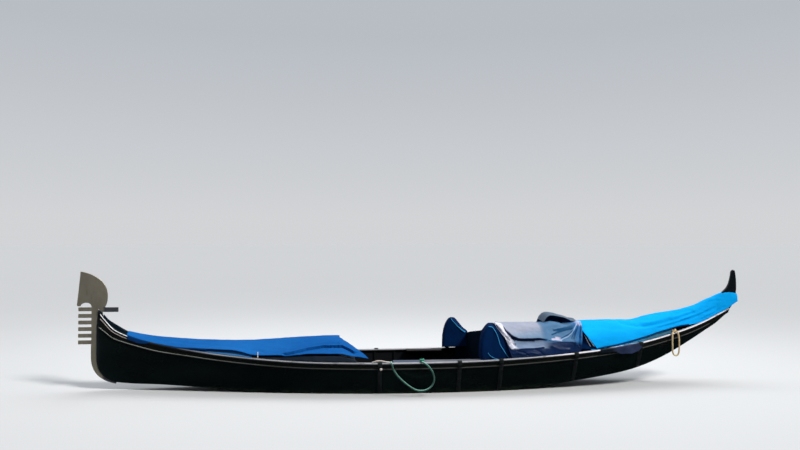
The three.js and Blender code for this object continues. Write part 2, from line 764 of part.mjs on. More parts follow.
// Route of the stern loop, out of its turns, down and back: x, y, z
const STERN_ROUTE = [
  [-4162, 292, 850], [-4155, 303, 850], [-4143, 317, 846], [-4134, 330, 832], [-4129, 340, 808],
  [-4126, 345, 780], [-4124, 348, 730], [-4123, 349, 670], [-4123, 349, 610], [-4125, 349, 560],
  [-4133, 349, 520], [-4152, 349, 492], [-4180, 349, 482], [-4208, 349, 492], [-4227, 349, 520],
  [-4235, 349, 560], [-4237, 349, 610], [-4237, 349, 670], [-4236, 347, 730], [-4234, 343, 785],
  [-4231, 334, 826], [-4228, 319, 853], [-4223, 305, 864], [-4219, 293.5, 866],
];
rope("stern_loop", STERN_ROUTE, 34, tanRope);

export default gondola;
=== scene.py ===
import math

import bmesh
import bpy
import numpy as np
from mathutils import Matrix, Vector, noise


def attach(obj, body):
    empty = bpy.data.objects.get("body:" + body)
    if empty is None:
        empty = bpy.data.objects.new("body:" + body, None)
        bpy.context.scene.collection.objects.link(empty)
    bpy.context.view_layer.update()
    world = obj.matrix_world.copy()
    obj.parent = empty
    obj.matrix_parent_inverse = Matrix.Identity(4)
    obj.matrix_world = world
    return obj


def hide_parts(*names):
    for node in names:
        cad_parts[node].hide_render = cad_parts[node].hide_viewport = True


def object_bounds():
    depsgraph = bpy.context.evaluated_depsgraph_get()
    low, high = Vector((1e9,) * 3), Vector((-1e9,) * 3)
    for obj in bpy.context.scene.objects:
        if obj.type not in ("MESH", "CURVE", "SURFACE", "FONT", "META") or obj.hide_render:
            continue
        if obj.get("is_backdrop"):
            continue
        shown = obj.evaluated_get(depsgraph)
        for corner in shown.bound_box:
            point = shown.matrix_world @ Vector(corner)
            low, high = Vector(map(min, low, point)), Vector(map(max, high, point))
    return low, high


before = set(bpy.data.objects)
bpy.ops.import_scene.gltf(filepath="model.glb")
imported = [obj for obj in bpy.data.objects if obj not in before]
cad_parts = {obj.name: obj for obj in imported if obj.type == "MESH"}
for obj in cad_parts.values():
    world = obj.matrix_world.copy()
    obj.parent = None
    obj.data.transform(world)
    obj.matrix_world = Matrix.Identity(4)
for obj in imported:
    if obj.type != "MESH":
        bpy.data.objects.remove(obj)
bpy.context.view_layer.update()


def metres(table):
    """A number or a table written in millimetres, in metres."""
    if isinstance(table, (list, tuple)):
        return type(table)(metres(value) for value in table)
    return table / 1000


# hull lines, as in the CAD but smooth between the stations, and with the rub strip lower near the bow
GAP = 0.0004
PORT_HALF_BEAM, STARBOARD_HALF_BEAM = 0.810, 0.610
PORT_HALF_BOTTOM, STARBOARD_HALF_BOTTOM = 0.560, 0.400
SHEER_REACH_BOW, SHEER_REACH_STERN = 5.160, 5.400
CHINE_REACH_BOW, CHINE_REACH_STERN = 4.900, 5.050
PLAN_FULLNESS = 1.12
SIDE_THICKNESS, SIDE_BULGE, BOTTOM_THICKNESS = 0.018, 0.014, 0.020
POST_HALF, LEAST_HALF = 0.022, 0.0304
GUNWALE_WIDTH, GUNWALE_OVERHANG, GUNWALE_HEIGHT = 0.062, 0.008, 0.038
RUB_DROP, RUB_HEIGHT = 0.100, 0.020
RUB_BOW_START, RUB_BOW_RUN, RUB_BOW_DROP, RUB_BOW_SAG = 4.2, 0.8, 0.105, 0.018

SHEER_ROWS = metres([
    (-5400, 1262), (-5250, 1203), (-4700, 985), (-4100, 822), (-3500, 703), (-2800, 622), (-2000, 566),
    (-1000, 521), (0, 505), (1000, 504), (2000, 527), (3000, 603), (3800, 703), (4400, 815), (4800, 953),
    (5000, 1142), (5110, 1290),
])
CHINE_ROWS = metres([
    (-5400, 1222), (-5200, 1105), (-5000, 945), (-4500, 665), (-4000, 430), (-3500, 268), (-3000, 180),
    (-2000, 62), (-1000, -50), (0, -118), (1000, -108), (2000, -34), (3000, 46), (4000, 98), (4750, 118),
    (4900, 180), (5000, 255), (5110, 420),
])


def clamp(t):
    return min(max(t, 0.0), 1.0)


def side_of(v):
    return 1 if v >= 0 else -1


def lerp(a, b, t):
    return a + (b - a) * t


def smoothstep(value, low, high):
    t = clamp((value - low) / (high - low))
    return t * t * (3 - 2 * t)


def through(rows):
    """A smooth curve through rows of (x, value)."""
    slopes = []
    for i in range(len(rows)):
        a, b = rows[max(i - 1, 0)], rows[min(i + 1, len(rows) - 1)]
        slopes.append((b[1] - a[1]) / (b[0] - a[0]))

    def value(x):
        i = next((k for k, row in enumerate(rows) if row[0] >= x), len(rows) - 1)
        i = max(i, 1)
        (x0, a), (x1, b) = rows[i - 1], rows[i]
        width = x1 - x0
        t = clamp((x - x0) / width)
        bend = slopes[i - 1] * width * t * (1 - t) ** 2 - slopes[i] * width * t * t * (1 - t)
        return a + (b - a) * t * t * (3 - 2 * t) + bend

    return value


sheer_z = through(SHEER_ROWS)
chine_z = through(CHINE_ROWS)


def plan_shape(x, bow_reach, stern_reach):
    reach = bow_reach if x > 0 else stern_reach
    return max(0.0, 1 - (x / reach) ** 2) ** PLAN_FULLNESS


def sheer_half(x, side):
    beam = PORT_HALF_BEAM if side > 0 else STARBOARD_HALF_BEAM
    return max(beam * plan_shape(x, SHEER_REACH_BOW, SHEER_REACH_STERN), LEAST_HALF)


def chine_half(x, side):
    beam = PORT_HALF_BOTTOM if side > 0 else STARBOARD_HALF_BOTTOM
    return max(beam * plan_shape(x, CHINE_REACH_BOW, CHINE_REACH_STERN), LEAST_HALF)


def side_half(x, z, side):
    low, high = chine_z(x), sheer_z(x)
    t = (z - low) / (high - low)
    half = lerp(chine_half(x, side), sheer_half(x, side), t)
    room = smoothstep(half, POST_HALF + 0.010, 0.200)
    return half + SIDE_BULGE * room * math.sin(math.pi * clamp(t))


def side_inner_half(x, z, side):
    return max(side_half(x, z, side) - SIDE_THICKNESS, POST_HALF + GAP)


def gunwale_inner_half(x, side):
    return max(sheer_half(x, side) - GUNWALE_WIDTH, POST_HALF + GAP)


def gunwale_outer_half(x, side):
    return sheer_half(x, side) + GUNWALE_OVERHANG


def rub_z(x):
    sag = RUB_BOW_SAG * smoothstep(x, 3.5, 4.2) * smoothstep(x, 5.08, 4.85)
    return sheer_z(x) - RUB_DROP - RUB_BOW_DROP * max(0.0, (x - RUB_BOW_START) / RUB_BOW_RUN) ** 4 - sag


def steps(a, b, count):
    return [a + (b - a) * i / count for i in range(count + 1)]


# the camera
CAMERA_PLACE = (1.16, 11.27, 2.39)
CAMERA_YAW, CAMERA_PITCH = math.radians(-4.33), math.radians(1.12)
FOCAL_PIXELS, PHOTO_WIDTH, SENSOR, SIGHT = 690.0, 800, 36.0, 2000


def linked(name, data):
    """A new object in the scene."""
    made = bpy.data.objects.new(name, data)
    bpy.context.scene.collection.objects.link(made)
    return made


def aim(thing, way):
    """Turns a camera or a light to look along a direction."""
    thing.rotation_euler = way.to_track_quat("-Z", "Y").to_euler()


camera_data = bpy.data.cameras.new("camera")
camera_data.sensor_width = SENSOR
camera_data.lens = FOCAL_PIXELS / PHOTO_WIDTH * SENSOR
camera_data.clip_end = SIGHT
camera = linked("camera", camera_data)
camera.location = CAMERA_PLACE
level_share = math.cos(CAMERA_PITCH)
aim(camera, Vector((
    math.sin(CAMERA_YAW) * level_share, -math.cos(CAMERA_YAW) * level_share, math.sin(CAMERA_PITCH)
)))
bpy.context.scene.camera = camera


# materials
def add_node(tree, kind, inputs=None, **settings):
    """A shader node, with its inputs linked or set."""
    made = tree.nodes.new(kind)
    for key, value in settings.items():
        setattr(made, key, value)
    for key, value in (inputs or {}).items():
        if isinstance(value, bpy.types.NodeSocket):
            tree.links.new(value, made.inputs[key])
        else:
            made.inputs[key].default_value = value
    return made


def tint(color, share, more=0.0):
    """A darker or paler colour."""
    return tuple(c * share + more for c in color)


class Shader:
    """A node material, built from small helpers."""

    def __init__(self, name, color, roughness, metallic=0.0, **sockets):
        self.material = bpy.data.materials.new(name)
        self.material.use_nodes = True
        self.tree = self.material.node_tree
        self.bsdf = self.tree.nodes["Principled BSDF"]
        self.set("Base Color", (*color, 1))
        self.set("Roughness", roughness)
        self.set("Metallic", metallic)
        for socket, value in sockets.items():
            self.set(socket.replace("_", " "), value)
        self.height = None
        self.place = self.node("ShaderNodeTexCoord").outputs["Object"]

    def set(self, socket, value):
        self.bsdf.inputs[socket].default_value = value

    def node(self, kind, inputs=None, **settings):
        return add_node(self.tree, kind, inputs, **settings)

    def noise(self, scale, stretch=(1, 1, 1), detail=3.0, rough=0.55):
        place = self.node("ShaderNodeMapping", {"Vector": self.place, "Scale": stretch}).outputs[0]
        inputs = {"Vector": place, "Scale": scale, "Detail": detail, "Roughness": rough}
        return self.node("ShaderNodeTexNoise", inputs).outputs["Fac"]

    def waves(self, scale, axis, distortion=0.0):
        inputs = {"Vector": self.place, "Scale": scale, "Distortion": distortion}
        kind = {"wave_type": "BANDS", "bands_direction": axis, "wave_profile": "SIN"}
        return self.node("ShaderNodeTexWave", inputs, **kind).outputs["Fac"]

    def remap(self, value, low, high, to_low=0.0, to_high=1.0):
        inputs = {"Value": value, "From Min": low, "From Max": high, "To Min": to_low, "To Max": to_high}
        return self.node("ShaderNodeMapRange", inputs).outputs[0]

    def maths(self, operation, a, b=0.0, c=0.0):
        return self.node("ShaderNodeMath", {0: a, 1: b, 2: c}, operation=operation).outputs[0]

    def times(self, mask, *masks):
        for more in masks:
            mask = self.maths("MULTIPLY", mask, more)
        return mask

    def axis(self, name):
        return self.node("ShaderNodeSeparateXYZ", {0: self.place}).outputs[name]

    def along(self, name, *limits):
        return self.remap(self.axis(name), *limits)

    def upward(self, *limits):
        """A mask of how far the surface faces up."""
        normal = self.node("ShaderNodeTexCoord").outputs["Normal"]
        return self.remap(self.node("ShaderNodeSeparateXYZ", {0: normal}).outputs["Z"], *limits)

    def blend(self, factor, color):
        """Mixes color over what Base Color holds."""
        socket = self.bsdf.inputs["Base Color"]
        below = socket.links[0].from_socket if socket.is_linked else tuple(socket.default_value)
        inputs = {0: factor, 6: below, 7: (*color, 1)}
        mixed = self.node("ShaderNodeMix", inputs, data_type="RGBA")
        self.tree.links.new(mixed.outputs[2], socket)

    def roughness(self, value):
        self.tree.links.new(value, self.bsdf.inputs["Roughness"])

    def specular(self, value):
        self.tree.links.new(value, self.bsdf.inputs["Specular IOR Level"])

    def relief(self, height, depth):
        """Adds a bump of that depth in metres."""
        inputs = {"Height": height, "Distance": depth, "Strength": 1.0}
        if self.height is not None:
            inputs["Normal"] = self.height
        self.height = self.node("ShaderNodeBump", inputs).outputs[0]
        self.tree.links.new(self.height, self.bsdf.inputs["Normal"])


def lacquer_shader(name, color, shine, specular=0.2):
    s = Shader(name, color, shine, Specular_IOR_Level=specular)
    s.blend(s.remap(s.noise(1.6, (0.4, 1, 1.6)), 0.45, 0.75, 0, 0.6), tint(color, 1.8, 0.0008))
    s.blend(s.remap(s.noise(55, (0.25, 1, 1), 5), 0.68, 0.8, 0, 0.3), (0.03, 0.03, 0.03))
    s.roughness(s.remap(s.noise(3.5, (0.3, 1, 1), 4), 0.3, 0.7, shine * 0.7, shine * 1.6))
    s.relief(s.noise(2.2, (0.5, 1, 1), 1), 0.0016)
    s.relief(s.noise(160, (0.15, 1, 1), 2), 0.00012)
    return s


def hull_material():
    """Lacquer, weedy near the waterline."""
    s = lacquer_shader("lacquer_hull", (0.0012, 0.0032, 0.0034), 0.2)
    weed = s.times(s.along("Z", 0.02, 0.1, 1, 0), s.remap(s.noise(9, (0.5, 1, 1), 4), 0.35, 0.6), 0.8)
    s.blend(weed, (0.010, 0.019, 0.011))
    return s.material


# palest astern: wear with a painted highlight over it; black forward of the second number, partly painted
# shade under the bow cover
RAIL_ASTERN_WEAR_AND_HIGHLIGHT = (0.62, 0.595, 0.63)
RAIL_PALE_TO, RAIL_BLACK_FROM = 3.2, 3.8


def rail_material(name, pale, forward=False, low=0.0, high=0.3):
    """Black rail, worn pale on top; with low and high set below zero the pale covers nearly all of a bead, a
    painted highlight. The long rails are palest astern, where a painted highlight lies over the wear, and
    stay black near the bow, partly as painted shade under the bow cover's edge.
    """
    s = Shader(name, (0.006, 0.008, 0.009), 0.36, Specular_IOR_Level=0.3)
    pale_share = s.upward(low, high)
    if forward:
        pale_share = s.times(pale_share, s.along("X", RAIL_PALE_TO, RAIL_BLACK_FROM, 1, 0.03))
    s.blend(pale_share, pale)
    pale_mottle = s.times(pale_share, s.remap(s.noise(5, (0.35, 2, 2), 5, 0.65), 0.46, 0.66, 0, 0.8))
    s.blend(pale_mottle, tint(pale, 0.6))
    if forward:
        # astern the worn top turns near white: a painted highlight over the wear
        s.blend(s.times(pale_share, s.along("X", -1.8, -2.3)), RAIL_ASTERN_WEAR_AND_HIGHLIGHT)
    s.blend(s.remap(s.noise(26, (0.3, 1, 1), 4, 0.7), 0.58, 0.7, 0, 0.8), (0.014, 0.014, 0.016))
    s.roughness(s.remap(s.noise(14, (0.4, 1, 1), 3), 0.3, 0.7, 0.25, 0.5))
    if forward:
        s.specular(s.along("X", RAIL_PALE_TO, RAIL_BLACK_FROM, 0.3, 0.04))
    s.relief(s.noise(90, (0.12, 1, 1), 3), 0.0005)
    return s.material


def rub_material():
    """Black, with a painted highlight along its upper edge, stronger towards the bow."""
    s = Shader("rub_strip_highlight", (0.011, 0.013, 0.013), 0.45, Specular_IOR_Level=0.2)
    # a painted highlight on the upward faces, stronger towards the bow
    pale_share = s.times(s.upward(-0.15, 0.35), s.along("X", 2.2, 4.4, 0.16, 1))
    s.blend(pale_share, (0.22, 0.23, 0.21))
    s.blend(s.remap(s.noise(12, (0.3, 1, 1), 4, 0.7), 0.52, 0.68, 0, 0.7), (0.010, 0.012, 0.012))
    s.relief(s.noise(90, (0.12, 1, 1), 3), 0.0005)
    return s.material


def wood_material(name, color, shine=0.5, specular=0.35):
    s = Shader(name, color, shine, Specular_IOR_Level=specular)
    grain = s.noise(34, (0.06, 1, 1), 6, 0.6)
    s.blend(s.remap(grain, 0.4, 0.65), tint(color, 0.45))
    s.blend(s.remap(s.noise(4, (0.7, 1, 1), 4), 0.5, 0.75, 0, 0.5), tint(color, 1.8))
    s.roughness(s.remap(grain, 0.3, 0.7, shine * 0.8, shine * 1.3))
    s.relief(grain, 0.0012)
    return s.material


def board_material():
    """Lacquer, slate blue forward as painted shade, pale aft as a painted sheen."""
    s = lacquer_shader("side_board_lacquer", (0.030, 0.045, 0.085), 0.35)
    # pale aft: a painted sheen; the slate blue left forward stands for shade
    s.blend(s.along("X", 0.02, -0.08), (0.10, 0.105, 0.125))
    s.blend(s.remap(s.noise(7, (0.3, 1, 1), 4, 0.7), 0.5, 0.7, 0, 0.5), (0.04, 0.045, 0.06))
    return s.material


def iron_material():
    s = Shader("bow_metal", (0.40, 0.365, 0.29), 0.42, 0.8)
    s.blend(s.remap(s.noise(3.2, (1, 1, 0.5), 4), 0.42, 0.7, 0, 0.7), (0.24, 0.22, 0.17))
    s.blend(s.remap(s.noise(28, (1, 1, 0.35), 5, 0.7), 0.58, 0.74, 0, 0.6), (0.13, 0.12, 0.09))
    # the rear tooth painted darker and bluish: painted shade with a sky reflection
    rear_tooth_shade = s.times(s.along("X", 5.03, 4.99), s.along("Z", 1.315, 1.302))
    s.blend(rear_tooth_shade, (0.115, 0.122, 0.140))
    brushed = s.noise(220, (1, 1, 0.05), 2)
    s.roughness(s.remap(brushed, 0.3, 0.7, 0.36, 0.52))
    s.relief(brushed, 0.0002)
    return s.material


def rubber_material():
    s = Shader("strap_rubber", (0.0045, 0.007, 0.008), 0.6, Specular_IOR_Level=0.12)
    s.blend(s.remap(s.noise(22, (1, 1, 0.5), 4), 0.45, 0.7, 0, 0.8), (0.012, 0.015, 0.016))
    s.relief(s.waves(420, "Z"), 0.0004)
    s.relief(s.noise(70, detail=3), 0.0008)
    return s.material


WEAVE = 300


def canvas_shader(name, color, faded, roughness=0.8):
    s = Shader(name, color, roughness, Specular_IOR_Level=0.02)
    s.blend(s.remap(s.noise(1.3, (0.6, 1, 1), 3), 0.38, 0.68), faded)
    s.blend(s.remap(s.noise(11, detail=5, rough=0.65), 0.55, 0.8, 0, 0.35), tint(color, 0.62))
    threads = s.maths("ADD", s.waves(WEAVE, "X", 0.3), s.waves(WEAVE, "Y", 0.3))
    s.relief(s.noise(24, (1, 1.6, 1.6), 4), 0.002)
    s.relief(threads, 0.0003)
    return s


def canvas_material(*settings):
    return canvas_shader(*settings).material


def skirt_material():
    """Inside of the stern cover: pale forward, dull aft."""
    s = canvas_shader("cyan_canvas_skirt", (0.015, 0.24, 0.52), (0.06, 0.32, 0.58), 0.6)
    s.blend(s.along("X", -3.35, -3.75, 0, 0.9), (0.035, 0.105, 0.155))
    return s.material


def coated_shader(name, color, pale, roughness=0.3, specular=0.35):
    s = Shader(name, color, roughness, Specular_IOR_Level=specular)
    s.blend(s.remap(s.noise(2.4, (1, 1, 1), 4), 0.4, 0.72, 0, 0.75), pale)
    s.blend(s.remap(s.noise(17, detail=5, rough=0.7), 0.56, 0.78, 0, 0.5), tint(color, 0.5))
    s.roughness(s.remap(s.noise(6, detail=4), 0.3, 0.7, roughness * 0.7, roughness * 1.7))
    s.relief(s.noise(13, (1, 1, 1), 4, 0.6), 0.002)
    s.relief(s.noise(60, detail=3), 0.0006)
    return s


# painted highlights (swag, climb) and painted shadows (crescent) on the seat's port face: from, to and half
# width
SWAG_HIGHLIGHTS = metres([((-2060, 796), (-2150, 796), 11), ((-2130, 806), (-2215, 795), 22)])
CLIMB_HIGHLIGHTS = metres([
    ((-2190, 780), (-2345, 832), 9),
    ((-2338, 828), (-2425, 890), 7),
    ((-2420, 886), (-2530, 1020), 7),
])
CRESCENT_SHADOWS = metres([
    ((-1290, 998), (-1345, 906), 12),
    ((-1335, 920), (-1437, 833), 20),
    ((-1425, 840), (-1525, 797), 23),
    ((-1510, 798), (-1790, 779), 22),
])


def seat_material():
    """Coated navy cloth with a painted sheen where it faces up: lavender in front, steel blue behind, with
    painted highlights and shadows along its folds.
    """
    s = coated_shader("seat_cloth", (0.003, 0.013, 0.050), (0.006, 0.019, 0.072), 0.36, 0.07)
    x, z = s.axis("X"), s.axis("Z")
    sheen_up, high = s.upward(0.34, 0.62), s.remap(z, 0.785, 0.81)
    mottled = s.remap(s.noise(3.4, (1, 1, 1.6), 4, 0.6), 0.3, 0.62, 0.75, 1)
    front, rear = s.remap(x, -2.06, -1.9), s.remap(x, -2.0, -1.9, 1, 0)

    # a painted sheen on upward faces in front, brightest on the upper panel
    s.blend(s.times(sheen_up, s.remap(z, 0.655, 0.68), mottled, front), (0.135, 0.19, 0.285))
    s.blend(s.times(sheen_up, high, mottled, front), (0.26, 0.28, 0.355))
    shaded = s.maths("MULTIPLY_ADD", x, -0.12, s.times(z, -1.0))
    s.blend(s.times(sheen_up, high, s.remap(shaded, -0.75, -0.60), front), (0.10, 0.185, 0.29))
    # a painted highlight in a band behind the front edge
    behind_edge = s.maths("SUBTRACT", s.maths("MULTIPLY_ADD", z, 0.55, -1.723), x)
    edge_highlight = s.times(s.remap(behind_edge, 0.012, 0.03), s.remap(behind_edge, 0.10, 0.15, 1, 0))
    pale_share = s.remap(s.noise(13, detail=4, rough=0.6), 0.36, 0.58, 0.4, 1)
    s.blend(s.times(edge_highlight, s.remap(z, 0.655, 0.70), front, pale_share), (0.62, 0.62, 0.69))
    # behind, above the fold line, painted lighter as if lit, with a painted sheen where it faces up
    rear_lit = s.times(s.remap(z, 0.745, 0.785), mottled, rear)
    s.blend(rear_lit, (0.014, 0.078, 0.185))
    s.blend(s.times(s.upward(0.25, 0.6), rear_lit), (0.06, 0.14, 0.25))
    s.blend(s.times(s.remap(x, -2.41, -2.50), s.remap(z, 0.70, 0.76), rear), (0.018, 0.105, 0.27))
    port = s.along("Y", 0.20, 0.30)

    def streak(a, b, half):
        """Close to the line from a to b on the port face, points (x, z), b astern of a."""
        slope = (b[1] - a[1]) / (b[0] - a[0])
        level = s.maths("SUBTRACT", z, a[1] - slope * a[0])
        off = s.maths("ABSOLUTE", s.maths("MULTIPLY_ADD", x, -slope, level))
        reach = half * math.hypot(1, slope)
        ends = [s.remap(x, end[0] + soft, end[0] - soft) for end, soft in ((a, 0.008), (b, -0.008))]
        return s.times(s.remap(off, reach * 1.4, reach * 0.6), port, *ends)

    # painted highlights and shadows along the folds, then a painted highlight at the aft top corner
    for line in SWAG_HIGHLIGHTS:
        s.blend(s.times(streak(*line), mottled), (0.42, 0.38, 0.50))
    for line in CLIMB_HIGHLIGHTS:
        s.blend(streak(*line), (0.22, 0.33, 0.50))
    for line in CRESCENT_SHADOWS:
        s.blend(streak(*line), (0.0015, 0.008, 0.032))
    s.blend(s.times(s.remap(x, -2.49, -2.54), s.remap(z, 0.975, 1.01), mottled), (0.34, 0.38, 0.56))
    return s.material


def gunwale_cloth_material():
    """Coated navy cloth with a painted highlight on its upward faces where it lies on the gunwale."""
    s = coated_shader("gunwale_cloth", (0.005, 0.013, 0.036), (0.040, 0.052, 0.125), 0.4, 0.12)
    s.blend(s.along("X", -3.16, -3.04, 0, 0.92), (0.0012, 0.0045, 0.0080))
    patches = s.remap(s.noise(9, (0.6, 1, 1), 4, 0.65), 0.36, 0.52)
    # a painted highlight where it faces up
    s.blend(s.times(s.upward(0.7, 0.95), s.along("X", -2.98, -3.12), patches), (0.42, 0.50, 0.64))
    return s.material


def rope_material(name, color, pale, lit=None):
    s = Shader(name, color, 0.8, Sheen_Weight=0.3, Specular_IOR_Level=0.3)
    s.blend(s.remap(s.noise(46, detail=4), 0.42, 0.66, 0, 0.7), pale)
    # lit: a painted highlight on the upward faces
    if lit:
        s.blend(s.upward(0.3, 0.9), lit)
    s.blend(s.remap(s.noise(9, detail=3), 0.5, 0.8, 0, 0.5), tint(color, 0.4))
    s.relief(s.noise(700, detail=2), 0.0004)
    return s.material


LACQUER = lacquer_shader("lacquer", (0.003, 0.005, 0.007), 0.2, 0.3).material
HULL_LACQUER = hull_material()
STRAKE = lacquer_shader("strake_varnish", (0.0035, 0.0045, 0.0040), 0.24).material
RAIL = rail_material("worn_rail", (0.27, 0.275, 0.30), True)
RUB_RAIL = rub_material()
# the bead finishes are pale nearly all round: painted highlights, dull on the lower bead and a bright glint
# on the upper
BEAD = rail_material("rail_edge", (0.34, 0.30, 0.28), False, -0.9, -0.4)
BEAD_GLINT = rail_material("rail_edge_glint", (0.80, 0.82, 0.84), False, -0.9, -0.4)
DECK = lacquer_shader("deck_lacquer", (0.0012, 0.0055, 0.0100), 0.45, 0.03).material
DARK_WOOD = wood_material("dark_wood", (0.0022, 0.003, 0.0045), 0.6, 0.06)
FLOOR_WOOD = wood_material("floor_wood", (0.012, 0.013, 0.014), 0.6, 0.15)
BOARD = board_material()
BOARD_DARK = lacquer_shader("side_board_dark", (0.010, 0.007, 0.007), 0.4, 0.1).material
IRON = iron_material()
RUBBER = rubber_material()
BLUE = canvas_material("blue_canvas", (0.0045, 0.074, 0.265), (0.007, 0.094, 0.31))
BLUE_FLAP = canvas_material("blue_canvas_inside", (0.020, 0.105, 0.28), (0.035, 0.145, 0.34))
NAVY = canvas_material("navy_canvas", (0.0006, 0.0105, 0.048), (0.001, 0.0155, 0.066))
# a darker copy of the navy canvas: painted shade
NAVY_SHADED = canvas_material("navy_canvas_deep", (0.0006, 0.0045, 0.011), (0.0008, 0.006, 0.016))
# piping paler than the navy cloth: the highlight its edge catches is painted into its colour
PIPING = canvas_material("piping_canvas", (0.03, 0.20, 0.40), (0.05, 0.28, 0.52), 0.6)
BLUE_SHADED_HEM = canvas_material("blue_canvas_hem", (0.002, 0.022, 0.085), (0.003, 0.03, 0.11))
CYAN = canvas_material("cyan_canvas", (0.001, 0.29, 0.70), (0.002, 0.335, 0.78), 0.7)
CYAN_SKIRT = skirt_material()
CYAN_SHADED_HEM = canvas_material("cyan_canvas_hem", (0.002, 0.032, 0.13), (0.003, 0.045, 0.17), 0.7)
SEAT_CLOTH = seat_material()
FLAP_CLOTH = coated_shader("flap_cloth", (0.04, 0.07, 0.115), (0.07, 0.115, 0.17), 0.4, 0.25).material
GUNWALE_CLOTH = gunwale_cloth_material()
# brighter than the flap cloth, so the shaded inside of the opening reads navy: painted light
FLAP_INSIDE_PAINTED_LIGHT = canvas_material("flap_inside", (0.008, 0.085, 0.22), (0.012, 0.11, 0.27))
SLATE = coated_shader("slate_cloth", (0.008, 0.015, 0.027), (0.012, 0.021, 0.036), 0.45, 0.2).material
GREEN_ROPE = rope_material("green_rope", (0.002, 0.045, 0.033), (0.004, 0.075, 0.055), (0.26, 0.58, 0.48))
TAN_ROPE = rope_material("tan_rope", (0.42, 0.3, 0.15), (0.6, 0.48, 0.28))
# a copy of the green rope with a dim painted highlight: painted shade for the turns
GREEN_TURNS_SHADED = rope_material(
    "green_rope_turns_shaded", (0.002, 0.075, 0.048), (0.004, 0.13, 0.08), (0.01, 0.24, 0.15)
)
THIN_LINE = rope_material("thin_line", (0.42, 0.37, 0.34), (0.58, 0.52, 0.48))
CORD = rope_material("white_cord", (0.72, 0.77, 0.86), (0.86, 0.88, 0.92))

# meshes
SHARP_ANGLE, ROUND_SHARP_ANGLE, CLOTH_SHARP_ANGLE = math.radians(38), math.radians(60), math.radians(75)
MERGE_DISTANCE = 1e-5


def piece(name, mesh_data, material, replaced=(), materials=()):
    """Links a mesh as a piece of the object."""
    made = linked(name, mesh_data)
    for m in (material, *materials):
        mesh_data.materials.append(m)
    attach(made, "root")
    if replaced:
        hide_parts(*replaced)
    return made


def mesh_from(bm, name):
    data = bpy.data.meshes.new(name)
    bm.to_mesh(data)
    bm.free()
    return data


def mesh_of(name, points, faces, indices, sharp=SHARP_ANGLE):
    """A smooth-shaded mesh, sharp where its faces meet at more than an angle."""
    bm = bmesh.new()
    vertices = [bm.verts.new(p) for p in points]
    for k, face in enumerate(faces):
        corners = []
        for i in face:
            if vertices[i] not in corners:
                corners.append(vertices[i])
        if len(corners) < 3:
            continue
        made = bm.faces.new(corners)
        made.smooth = True
        made.material_index = indices[k]
    bmesh.ops.remove_doubles(bm, verts=bm.verts, dist=MERGE_DISTANCE)
    bmesh.ops.recalc_face_normals(bm, faces=bm.faces)
    for edge in bm.edges:
        if len(edge.link_faces) == 2 and edge.calc_face_angle(0) > sharp:
            edge.smooth = False
    return mesh_from(bm, name)


def skin(rings, closed=True, caps=True):
    """Points and faces of a skin through rings, each ring with the same count."""
    count = len(rings[0])
    points = [p for ring in rings for p in ring]
    faces = []
    for i in range(len(rings) - 1):
        for j in range(count if closed else count - 1):
            k = (j + 1) % count
            faces.append((i * count + j, i * count + k, (i + 1) * count + k, (i + 1) * count + j))
    if caps and closed:
        faces += [tuple(range(count)), tuple(reversed(range(len(points) - count, len(points))))]
    return points, faces


def sweep(name, rings, closed=True, caps=True, pick=None, sharp=SHARP_ANGLE):
    """A skin through rings of points. pick(i, j) is a face's material."""
    points, faces = skin(rings, closed, caps)
    around = len(rings[0]) if closed else len(rings[0]) - 1
    sides = around * (len(rings) - 1)
    indices = [pick(*divmod(k, around)) if pick and k < sides else 0 for k in range(len(faces))]
    return mesh_of(name, points, faces, indices, sharp)


def swept(name, rings, material, replaced=(), sharp=SHARP_ANGLE):
    """A piece with a skin through rings of points."""
    return piece(name, sweep(name, rings, sharp=sharp), material, replaced)


def joined_mesh(name, parts, sharp=SHARP_ANGLE):
    """One mesh of several skins. parts: points, faces and the index of their material."""
    points, faces, indices = [], [], []
    for more_points, more_faces, index in parts:
        faces += [tuple(i + len(points) for i in face) for face in more_faces]
        indices += [index] * len(more_faces)
        points += [tuple(p) for p in more_points]
    return mesh_of(name, points, faces, indices, sharp)


def rounded(half_wide, half_high, radius, per_corner=4):
    """A rectangle with round corners, as (a, b) pairs round its centre."""
    loop = []
    for corner, (sa, sb) in enumerate([(1, 1), (-1, 1), (-1, -1), (1, -1)]):
        for i in range(per_corner + 1):
            angle = math.radians(90 * corner + 90 * i / per_corner)
            loop.append((
                sa * (half_wide - radius) + radius * math.cos(angle),
                sb * (half_high - radius) + radius * math.sin(angle),
            ))
    return loop


def spline(points, per_span):
    """Points on a smooth curve through the given ones, per_span to each gap."""
    p = np.array(points, float)
    gaps = np.maximum(np.linalg.norm(np.diff(p, axis=0), axis=1) ** 0.5, 1e-6)
    tangents = np.zeros_like(p)
    for i in range(len(p)):
        if 0 < i < len(p) - 1:
            before, after = (p[i] - p[i - 1]) / gaps[i - 1], (p[i + 1] - p[i]) / gaps[i]
            tangents[i] = (before * gaps[i] + after * gaps[i - 1]) / (gaps[i] + gaps[i - 1])
        elif i == 0:
            tangents[i] = (p[1] - p[0]) / gaps[0]
        else:
            tangents[i] = (p[-1] - p[-2]) / gaps[-1]
    made = []
    for i in range(len(p) - 1):
        for k in range(per_span):
            t = k / per_span
            made.append(
                (2 * t**3 - 3 * t**2 + 1) * p[i] + (t**3 - 2 * t**2 + t) * gaps[i] * tangents[i]
                + (3 * t**2 - 2 * t**3) * p[i + 1] + (t**3 - t**2) * gaps[i] * tangents[i + 1]
            )
    made.append(p[-1])
    return np.array(made)


def grid_of(rows, per_span):
    return np.array([spline(row, per_span) for row in rows])


def length_of(points):
    return float(np.linalg.norm(np.diff(np.array(points, float), axis=0), axis=1).sum())


